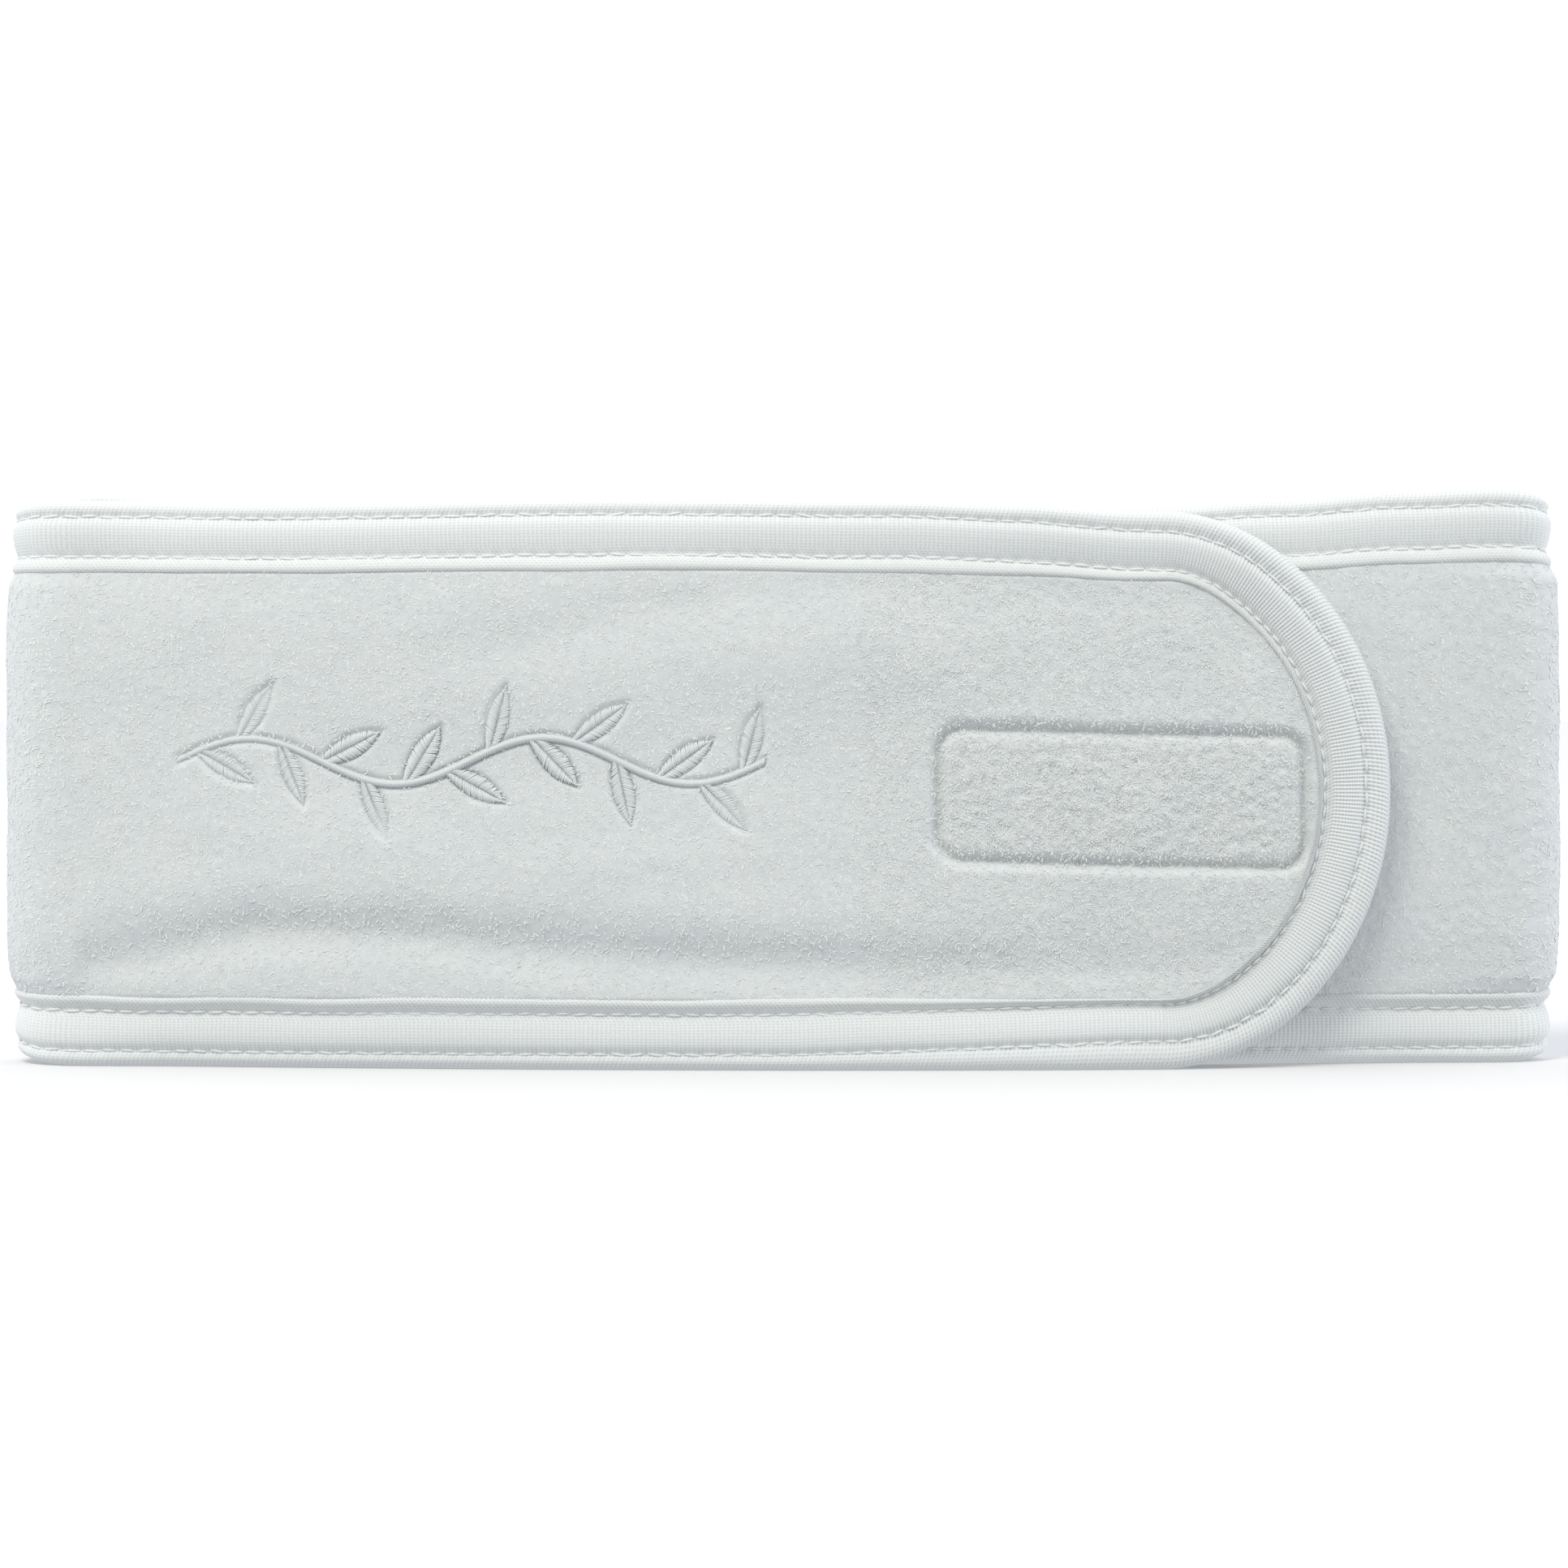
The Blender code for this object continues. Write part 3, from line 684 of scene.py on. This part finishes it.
def stitches(name, stretch, start, end, look, seed):
    """Two rows of stitches on both faces of the binding, from start to end round the edge, with the looper
    thread between them inside. A stitch belongs to the piece that holds its middle."""
    rng = np.random.default_rng(seed)
    parts, faces = [], []

    def sew(a, d, n, radius):
        """Adds threads through rows of places on the tape."""
        flat, quads = rods(np.stack(tape_point(a, d, n), -1), radius)
        faces.append(quads + sum(map(len, parts)))
        parts.append(flat)

    first = math.ceil(start / STITCH_PITCH - 0.5)
    last = math.floor(end / STITCH_PITCH - 0.5) + 1
    middle = (np.arange(first, last) + 0.5) * STITCH_PITCH
    t = np.linspace(-0.5, 0.5, 7)
    for side in (1, -1):
        for row, high in zip(STITCH_ROWS, (2.32, 2.20)):
            tilt = rng.normal(0, 0.09 * MM, len(middle))
            a = middle[:, None] + t[None] * 2.35 * MM
            d = row + tilt[:, None] * t[None] * 2 + rng.normal(0, 0.05 * MM, len(middle))[:, None]
            n = (high + 0.14 * np.cos(math.pi * t))[None] * MM * side + 0 * a
            sew(a, d, n, 0.22 * MM)
    back = middle + STITCH_PITCH / 2
    # The tight fold would squeeze the looper thread out of shape.
    back = back[heading(edge_at(back)[0])[1] != RIGHT]
    u = np.linspace(0, 1, 7)
    for sign in (1, -1):
        a = back[:, None] + sign * (u - 0.5)[None] * STITCH_PITCH * 0.8
        d = STITCH_ROWS[0] + (STITCH_ROWS[1] - STITCH_ROWS[0]) * u[None] + 0 * a
        n = -(2.62 + 0.40 * np.sin(math.pi * u))[None] * MM + 0 * a
        sew(a, d, n, 0.15 * MM)
    return bend(add_threads(name, np.concatenate(parts), np.concatenate(faces), look), stretch)


# -------- embroidery threads


def embroidery(name, look):
    """Satin stitch: close threads laid from each leaf's midrib to its edge, and slanting across the stem."""
    rng = np.random.default_rng(5)
    paths, sizes = [], []
    u = np.linspace(0, 1, 7)
    for root, tilt in motif_leaves():
        along = np.array([math.cos(tilt), math.sin(tilt)])
        across = np.array([-along[1], along[0]])
        for side in (1, -1):
            for far in np.arange(0.04, 0.97, 0.27 * MM / LEAF_LENGTH):
                wide = math.sin(math.pi * min(far + 0.06, 1.0)) ** 0.8 * LEAF_WIDTH / 2
                start = root + along * (far * LEAF_LENGTH - STEM_WIDTH / 2) - across * side * 0.05 * MM
                finish = start + across * side * wide + along * wide * 0.55
                finish = finish + rng.normal(0, 0.05 * MM, 2)
                line = start[None] * (1 - u)[:, None] + finish[None] * u[:, None]
                lift = (2.15 + 0.62 * np.sin(math.pi * (0.10 + 0.85 * u)) ** 0.8) * MM
                paths.append(np.concatenate([line, lift[:, None]], 1))
                sizes.append(rng.uniform(0.13, 0.17) * MM)
    for share in np.arange(0.0, 1.0, 0.27 * MM / (MOTIF_S[1] - MOTIF_S[0])):
        point, slope = stem_point(share)
        turn = float(slope) + math.radians(62)
        reach = np.array([math.cos(turn), math.sin(turn)]) * STEM_WIDTH * 0.58
        line = (point - reach)[None] * (1 - u)[:, None] + (point + reach)[None] * u[:, None]
        lift = (2.2 + 0.75 * np.sin(math.pi * u)) * MM
        paths.append(np.concatenate([line, lift[:, None]], 1))
        sizes.append(0.16 * MM)
    return bend(add_threads(name, *rods(np.array(paths), np.array(sizes)), look), "front")


# -------- closure tapes

TAPE_CORNER = 3.0 * MM
SEAM_INSET = 1.8 * MM


def tape_hooks(s, z):
    """A nylon hook at each place: a stem that curls over, facing along the tape by turns."""
    ahead = np.array([0.00, 0.03, 0.07, 0.20, 0.32, 0.36]) * MM
    height = np.array([3.00, 3.32, 3.50, 3.59, 3.50, 3.36]) * MM
    facing = np.where(np.round(z / (1.9 * MM)) % 2 == 0, 1.0, -1.0)[:, None]
    across = 0.04 * MM * np.arange(6)[None]
    height = np.broadcast_to(height, (len(s), 6))
    return np.stack([s[:, None] + facing * ahead, z[:, None] + across, height], -1)


def tape_loops(s, z, rng):
    """A thin brushed loop at each place, lying over at random."""
    u = np.linspace(0, 1, 5)
    turn = rng.uniform(0, 2 * math.pi, len(s))[:, None]
    turn = turn + rng.uniform(-1.6, 1.6, len(s))[:, None] * u
    long = rng.uniform(0.8, 1.5, len(s))[:, None] * MM / 5
    height = 2.98 * MM + np.sin(math.pi * u)[None] * rng.uniform(0.25, 0.55, len(s))[:, None] * MM
    ss = s[:, None] + np.cumsum(np.cos(turn) * long, axis=1)
    zz = z[:, None] + np.cumsum(np.sin(turn) * long, axis=1)
    return np.stack([ss, zz, height], -1)


def box_seam(start, end):
    """The stitches that hold a tape, on all four sides."""
    low, high = TAPE_Z - TAPE_HEIGHT / 2 + SEAM_INSET, TAPE_Z + TAPE_HEIGHT / 2 - SEAM_INSET
    left, right = start + SEAM_INSET, end - SEAM_INSET
    corners = [(left, low), (right, low), (right, high), (left, high)]
    t = np.linspace(-0.5, 0.5, 6)
    paths = []
    for index, corner in enumerate(corners):
        first, last = np.array(corner), np.array(corners[(index + 1) % 4])
        count = int(np.linalg.norm(last - first) / (2.6 * MM))
        for share in (np.arange(count) + 0.5) / count:
            line = first + (last - first) * (share + t[:, None] * 0.80 / count)
            height = (2.98 + 0.16 * np.cos(math.pi * t)) * MM
            paths.append(np.concatenate([line, height[:, None]], 1))
    return np.array(paths)


def close_tape(kind, arc, x_range, side, body, look):
    """A closure tape on one face (side 1 outside, -1 inside): its woven base, the seam round it, and its
    hooks or loops."""
    rng = np.random.default_rng(80 + arc)
    hooked = kind == "hook"
    start, end = (float(at_x(arc, x)) for x in x_range)
    half = (end - start) / 2
    s = np.linspace(start, end, int(2 * half / (0.4 * MM)))
    over = np.maximum(np.abs(s - start - half) - half + TAPE_CORNER, 0)
    tall = TAPE_HEIGHT / 2 - TAPE_CORNER + np.sqrt(np.maximum(TAPE_CORNER**2 - over**2, 0))
    z = TAPE_Z + tall[:, None] * np.linspace(-1, 1, 61)[None]
    s = np.repeat(s[:, None], 61, axis=1)
    edge = -rounded_distance(s - start - half, z - TAPE_Z, half, TAPE_HEIGHT / 2, TAPE_CORNER)
    n = 2.72 + 0.30 * np.sqrt(np.clip(edge / (0.4 * MM), 0, 1))
    n = n - 0.14 * np.exp(-(((edge - SEAM_INSET) / (0.35 * MM)) ** 2))
    points = place(s, z, side * n * MM).reshape(-1, 3)
    faces = grid_faces(*s.shape)[:, ::side]
    base = add_object(f"{kind}_tape_base", points, faces, np.stack([s, z], -1).reshape(-1, 2), look)
    step = (1.15 * MM, 0.95 * MM) if hooked else (0.58 * MM, 0.58 * MM)
    across = np.arange(TAPE_Z - 0.0099, TAPE_Z + 0.0099, step[1])
    s, z = np.meshgrid(np.arange(start, end, step[0]), across)
    s = (s + rng.normal(0, 0.05 if hooked else 0.3, s.shape) * MM).ravel()
    z = (z + rng.normal(0, 0.03 if hooked else 0.3, z.shape) * MM).ravel()
    edge = -rounded_distance(s - start - half, z - TAPE_Z, half, TAPE_HEIGHT / 2, TAPE_CORNER)
    keep = (edge > 1.0 * MM) & (np.abs(edge - SEAM_INSET) > 0.35 * MM)
    s, z = s[keep], z[keep]
    pile = tape_hooks(s, z) if hooked else tape_loops(s, z, rng)
    made = []
    for name, paths, radius, finish in (
        (f"{kind}_tape_{kind}s", pile, 0.075 if hooked else 0.045, look),
        (f"{kind}_tape_seam", box_seam(start, end), 0.17, THREAD),
    ):
        made.append(add_threads(name, *rods(paths * (1, 1, side), radius * MM, 4), finish))
    for piece in [base, *made]:
        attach(piece, body)
    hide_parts(f"{kind}_tape")


# -------- materials


def link(tree, source, target):
    tree.links.new(source, target)


def set_inputs(node, values):
    for name, value in values.items():
        node.inputs[name].default_value = value


def new_look(name, colour, rough, sheen):
    """A material with its Principled shader. Returns the material, its tree and the shader."""
    look = bpy.data.materials.new(name)
    look.use_nodes = True
    shader = look.node_tree.nodes["Principled BSDF"]
    set_inputs(shader, {"Base Color": (*colour, 1), "Roughness": rough, "Sheen Weight": sheen})
    set_inputs(shader, {"Sheen Roughness": 0.5, "Specular IOR Level": 0.2})
    look.diffuse_color = (*colour, 1)
    return look, look.node_tree, shader


def flat_place(tree, scale=(1, 1, 1)):
    """The flat place on the strap, one unit to 1 mm before scaling."""
    uv = tree.nodes.new("ShaderNodeUVMap")
    uv.uv_map = "flat"
    mapping = tree.nodes.new("ShaderNodeMapping")
    mapping.inputs["Scale"].default_value = [100 * part for part in scale]
    link(tree, uv.outputs["UV"], mapping.inputs["Vector"])
    return mapping.outputs["Vector"]


def noise_node(tree, vector, size, detail=3.0, rough=0.6, distortion=0.0):
    node = tree.nodes.new("ShaderNodeTexNoise")
    set_inputs(node, {"Scale": 1 / size, "Detail": detail, "Roughness": rough, "Distortion": distortion})
    link(tree, vector, node.inputs["Vector"])
    return node.outputs["Fac"]


def ramp(tree, value, stops):
    node = tree.nodes.new("ShaderNodeValToRGB")
    while len(node.color_ramp.elements) < len(stops):
        node.color_ramp.elements.new(0.5)
    for element, (position, colour) in zip(node.color_ramp.elements, stops):
        element.position = position
        element.color = (*colour, 1)
    link(tree, value, node.inputs["Fac"])
    return node.outputs["Color"]


def multiplied(tree, first, second):
    node = tree.nodes.new("ShaderNodeMix")
    node.data_type = "RGBA"
    node.blend_type = "MULTIPLY"
    node.inputs[0].default_value = 1.0
    link(tree, first, node.inputs[6])
    link(tree, second, node.inputs[7])
    return node.outputs[2]


def bumped(tree, shader, height, strength, distance):
    node = tree.nodes.new("ShaderNodeBump")
    set_inputs(node, {"Strength": strength, "Distance": distance})
    link(tree, height, node.inputs["Height"])
    link(tree, node.outputs["Normal"], shader.inputs["Normal"])


def terry_look(name, light, dark, bump=0.55):
    """White terry: random tufts of warm white, with painted shade between them in a cool, darker colour."""
    look, tree, shader = new_look(name, light, 0.95, 0.25)
    where = flat_place(tree)
    # The dark colour is painted shade in the pile, laid between the tufts at random.
    tufts_with_painted_shade = ramp(tree, noise_node(tree, where, 1.1, 4, 0.7, 0.8), [(0.36, dark), (0.62, light)])
    patches = noise_node(tree, where, 14.0, 2)
    patches = ramp(tree, patches, [(0.3, (0.965, 0.975, 0.985)), (0.7, (1, 1, 1))])
    link(tree, multiplied(tree, tufts_with_painted_shade, patches), shader.inputs["Base Color"])
    bumped(tree, shader, noise_node(tree, where, 0.42, 4, 0.75, 1.6), bump, 0.0004)
    return look


def knit_look(name, light, dark):
    """Knit tape: each rib a column of small stitches, with painted shade in the dark holes between them."""
    look, tree, shader = new_look(name, light, 0.85, 0.2)
    where = flat_place(tree)
    holes = tree.nodes.new("ShaderNodeTexVoronoi")
    holes.voronoi_dimensions = "2D"
    set_inputs(holes, {"Scale": 1.0, "Randomness": 0.12})
    link(tree, flat_place(tree, (MM / RIB, MM / COURSE, 1)), holes.inputs["Vector"])
    painted_shade_holes = ramp(tree, holes.outputs["Distance"], [(0.12, dark), (0.42, light)])
    yarn = noise_node(tree, where, 0.35, 3, 0.7)
    yarn = ramp(tree, yarn, [(0.3, (0.93, 0.94, 0.95)), (0.7, (1, 1, 1))])
    link(tree, multiplied(tree, painted_shade_holes, yarn), shader.inputs["Base Color"])
    bumped(tree, shader, noise_node(tree, where, 0.22, 3, 0.7), 0.35, 0.00015)
    return look


def thread_look(name, light, dark, sheen=0.35, rough=0.55):
    """Twisted thread: fine light and dark flecks along it."""
    look, tree, shader = new_look(name, light, rough, sheen)
    where = flat_place(tree)
    twist = ramp(tree, noise_node(tree, where, 0.22, 3, 0.6), [(0.3, dark), (0.7, light)])
    link(tree, twist, shader.inputs["Base Color"])
    bumped(tree, shader, noise_node(tree, where, 0.12, 2, 0.6), 0.3, 0.0001)
    return look


# Each terry look's second colour is painted shade, laid between the tufts of its pile.
TERRY = terry_look("outer_terry_pile", (0.735, 0.755, 0.735), (0.665, 0.70, 0.705), 0.35)
LINING = terry_look("inner_terry_pile", (0.725, 0.745, 0.725), (0.65, 0.68, 0.68), 0.5)
# The curls are a lighter copy of the terry: painted light that makes them read as lit threads.
CURL_PAINTED_LIGHT = terry_look("terry_curls_painted_light", (0.88, 0.895, 0.855), (0.78, 0.80, 0.775), 0.1)
# The knit's second colour is the painted shade in the holes between its stitches.
KNIT = knit_look("knit_tape", (0.82, 0.84, 0.815), (0.66, 0.69, 0.69))
THREAD = thread_look("seam_thread", (0.83, 0.845, 0.825), (0.74, 0.765, 0.76))
SATIN = thread_look("satin_thread", (0.75, 0.775, 0.77), (0.69, 0.72, 0.72), 0.15, 0.5)
HOOK = thread_look("hook_nylon", (0.80, 0.81, 0.80), (0.66, 0.68, 0.68), 0.1, 0.4)
LOOP = terry_look("loop_nylon", (0.90, 0.91, 0.90), (0.82, 0.84, 0.84), 0.3)


# -------- the pieces

# The outer terry's grid step, in millimetres, and the density of its pile.
STEPS = {"under_end": 0.50, "right_side": 0.50, "left_side": 0.50, "left_turn": 0.40, "front": 0.38}
DENSITY = {"under_end": 2.2, "right_side": 0.6, "left_side": 0.6, "left_turn": 2.3, "front": 2.3}
# The bodies whose cloth nodes each stretch stands for.
REPLACED = {
    "under_end": ["under_end"],
    "right_side": ["right_fold", "back"],
    "left_side": [],
    "left_turn": ["left_fold"],
    "front": ["front", "flap"],
}
for stretch, (start, end) in STRETCHES.items():
    step = STEPS[stretch] * MM
    outer = cloth(f"{stretch}_terry", stretch, 1, step, TERRY)
    inner = cloth(f"{stretch}_lining", stretch, -1, 0.6 * MM, LINING)
    for node in REPLACED[stretch]:
        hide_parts(f"{node}_outer_cloth")
        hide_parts(f"{node}_inner_cloth")
    density = DENSITY[stretch]
    if stretch == "front":
        thirds = [(0.0, 0.034), (0.034, 0.056), (0.056, WIDTH)]
        for index, (low, high) in enumerate(thirds):
            curls(f"front_pile_{index}", stretch, density, CURL_PAINTED_LIGHT, 60 + index, low, high)
        grains = (float(at_x(FRONT, 0.012)), end)
        curls("flap_grain", stretch, 7.0, CURL_PAINTED_LIGHT, 70, s_range=grains, short=True)
    elif stretch == "under_end":
        visible = (float(at_x(UNDER, 0.050)), end)
        curls(f"{stretch}_pile", stretch, density, CURL_PAINTED_LIGHT, 63, s_range=visible)
    else:
        curls(f"{stretch}_pile", stretch, density, CURL_PAINTED_LIGHT, 64 + len(stretch))


def ribs_between(start, end, parts):
    """Places from start to end that keep in step with the ribs, parts to each rib."""
    step = RIB / parts
    inner = np.arange(math.ceil(start / step + 0.3), math.floor(end / step - 0.3) + 1) * step
    return np.concatenate([[start], inner, [end]])


def bind(name, stretch, start, end, parts, nodes):
    """One length of binding with its stitches, from start to end round the edge."""
    if stretch == "under_end":
        # Its tip is hidden under the flap, so it has one place to a rib there.
        hidden = float(at_x(UNDER, 0.055))
        first, last = edge_of(hidden, True), edge_of(hidden, False)
        rows = [ribs_between(first, last, 1), ribs_between(last, end, parts)]
        places = np.concatenate([ribs_between(start, first, parts), *(row[1:] for row in rows)])
    else:
        places = ribs_between(start, end, parts)
    piece = binding(name, stretch, places, KNIT)
    if nodes:
        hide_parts(*nodes)
    thread = stitches(f"{name}_stitches", stretch, start, end, THREAD, len(name))


# Each straight length's ends along the strap, how many places it has to a rib, and the bodies whose binding
# nodes it stands for.
SIDES = {
    "front": ((SEAM_FRONT, PEEL_LINE), 4, ["front"]),
    "left_turn": (STRETCHES["left_turn"], 4, ["left_fold"]),
    "left_side": (STRETCHES["left_side"], 2, []),
    "right_side": (STRETCHES["right_side"], 2, ["right_fold", "back"]),
}
for top in (False, True):
    where = "top" if top else "bottom"
    for stretch, (ends, parts, owners) in SIDES.items():
        ends = sorted(edge_of(s, top) for s in ends)
        nodes = [f"{owner}_binding_{where}" for owner in owners]
        bind(f"{stretch}_{where}_tape", stretch, *ends, parts, nodes)
ends = edge_of(PEEL_LINE, False) - RING_LENGTH, edge_of(PEEL_LINE, True)
bind("flap_tape", "front", *ends, 4, ["flap_binding"])
ends = [edge_of(STRETCHES["under_end"][1], top) for top in (True, False)]
bind("under_end_tape", "under_end", *ends, 4, ["under_end_binding"])
motif = embroidery("sprig_embroidery", SATIN)
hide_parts("embroidery")

close_tape("hook", FRONT, HOOK_X, -1, "flap", HOOK)
close_tape("loop", UNDER, LOOP_X, 1, "under_end", LOOP)


# -------- floor, light and camera

# The tent's brightness by how far a direction points back (Y), and what is added to it by how far the
# direction points up (Z) and to the right (X).
TENT_BY_Y = [(-1.0, 0.55), (-0.6, 0.68), (-0.2, 1.06), (0.2, 1.12), (1.0, 1.06)]
TENT_BY_Z = [(-1.0, -0.30), (-0.35, -0.18), (0.0, 0.0), (0.4, 0.02), (1.0, -0.28)]
TENT_BY_X = [(-1.0, 0.46), (-0.6, 0.04), (0.0, 0.0), (0.6, 0.20), (1.0, 0.95)]
TENT_COLOUR = (0.985, 1.005, 1.055)
# A float curve holds values from 0 to 1, so each brightness b is kept in it as (b + TENT_LIFT) / TENT_SPAN.
TENT_LIFT = 0.5
TENT_SPAN = 2.0
KEY_COLOUR = (1.0, 0.975, 0.900)
KEY_PLACE = (-0.32, -0.75, 1.00)
KEY_TARGET = (0, 0, 0.045)
KEY_SIZE = 0.6
KEY_POWER = 8.3
# The floor's colour within 0.14 m of the object's middle, darker there as painted shade round the object,
# and beyond 0.40 m.
FLOOR_NEAR_SHADE, FLOOR_FAR = (0.79, 0.79, 0.79), (0.97, 0.97, 0.97)
FLOOR_REACH = (0.14, 0.40)
# The camera's lens and sensor in millimetres, its place, and its tilt down in degrees.
LENS = 148.5
SENSOR = 36.0
CAMERA_PLACE = (0.0, -1.050, 0.075)
CAMERA_DOWN = 1.62


def make_floor():
    """A pale floor with painted shade, darker round the object's middle, which doesn't light the object from
    below.
    """
    bpy.ops.mesh.primitive_plane_add(size=6.0, location=(0, 0, 0))
    floor = bpy.context.object
    floor.name = "floor"
    look, tree, shader = new_look("pale_floor_painted_shade", FLOOR_NEAR_SHADE, 0.9, 0.0)
    where = tree.nodes.new("ShaderNodeTexCoord")
    apart = tree.nodes.new("ShaderNodeVectorMath")
    apart.operation = "LENGTH"
    link(tree, where.outputs["Object"], apart.inputs[0])
    stops = list(zip(FLOOR_REACH, (FLOOR_NEAR_SHADE, FLOOR_FAR)))
    # The floor darkens toward the object's middle: painted shade that deepens its contact shadow.
    shade = ramp(tree, apart.outputs["Value"], stops)
    link(tree, shade, shader.inputs["Base Color"])
    floor.data.materials.append(look)
    floor.visible_diffuse = False


def make_key():
    """A soft key light from above on the left."""
    data = bpy.data.lights.new("key", "AREA")
    data.shape = "DISK"
    data.size = KEY_SIZE
    data.energy = KEY_POWER
    data.color = KEY_COLOUR
    light = bpy.data.objects.new("key", data)
    light.location = KEY_PLACE
    aim = Vector(KEY_TARGET) - Vector(KEY_PLACE)
    light.rotation_euler = aim.to_track_quat("-Z", "Y").to_euler()
    bpy.context.scene.collection.objects.link(light)


def make_world():
    """A white tent: dimmer on the camera's side, from below and overhead, brightest at the right."""
    world = bpy.data.worlds.new("studio")
    bpy.context.scene.world = world
    world.use_nodes = True
    tree = world.node_tree
    where = tree.nodes.new("ShaderNodeTexCoord")
    parts = tree.nodes.new("ShaderNodeSeparateXYZ")
    link(tree, where.outputs["Generated"], parts.inputs["Vector"])
    rows = []
    for axis, stops in (("Y", TENT_BY_Y), ("Z", TENT_BY_Z), ("X", TENT_BY_X)):
        spread = tree.nodes.new("ShaderNodeMapRange")
        spread.inputs["From Min"].default_value = -1.0
        link(tree, parts.outputs[axis], spread.inputs["Value"])
        level = tree.nodes.new("ShaderNodeFloatCurve")
        curve = level.mapping.curves[0]
        while len(curve.points) < len(stops):
            curve.points.new(0.5, 0.5)
        for point, (position, value) in zip(curve.points, stops):
            point.location = ((position + 1) / 2, (value + TENT_LIFT) / TENT_SPAN)
        level.mapping.update()
        link(tree, spread.outputs["Result"], level.inputs["Value"])
        rows.append(level.outputs["Value"])
    total = rows[0]
    for row in rows[1:]:
        joined = tree.nodes.new("ShaderNodeMath")
        joined.operation = "ADD"
        link(tree, total, joined.inputs[0])
        link(tree, row, joined.inputs[1])
        total = joined.outputs[0]
    strength = tree.nodes.new("ShaderNodeMath")
    strength.operation = "MULTIPLY_ADD"
    strength.inputs[1].default_value = TENT_SPAN
    strength.inputs[2].default_value = -TENT_LIFT * len(rows)
    link(tree, total, strength.inputs[0])
    background = tree.nodes["Background"]
    background.inputs["Color"].default_value = (*TENT_COLOUR, 1)
    link(tree, strength.outputs[0], background.inputs["Strength"])


def make_camera():
    data = bpy.data.cameras.new("camera")
    data.lens = LENS
    data.sensor_width = SENSOR
    camera = bpy.data.objects.new("camera", data)
    camera.location = CAMERA_PLACE
    camera.rotation_euler = (math.radians(90 - CAMERA_DOWN), 0, 0)
    bpy.context.scene.collection.objects.link(camera)
    bpy.context.scene.camera = camera


make_floor()
make_world()
make_key()
make_camera()
bpy.context.scene.view_settings.view_transform = "Standard"
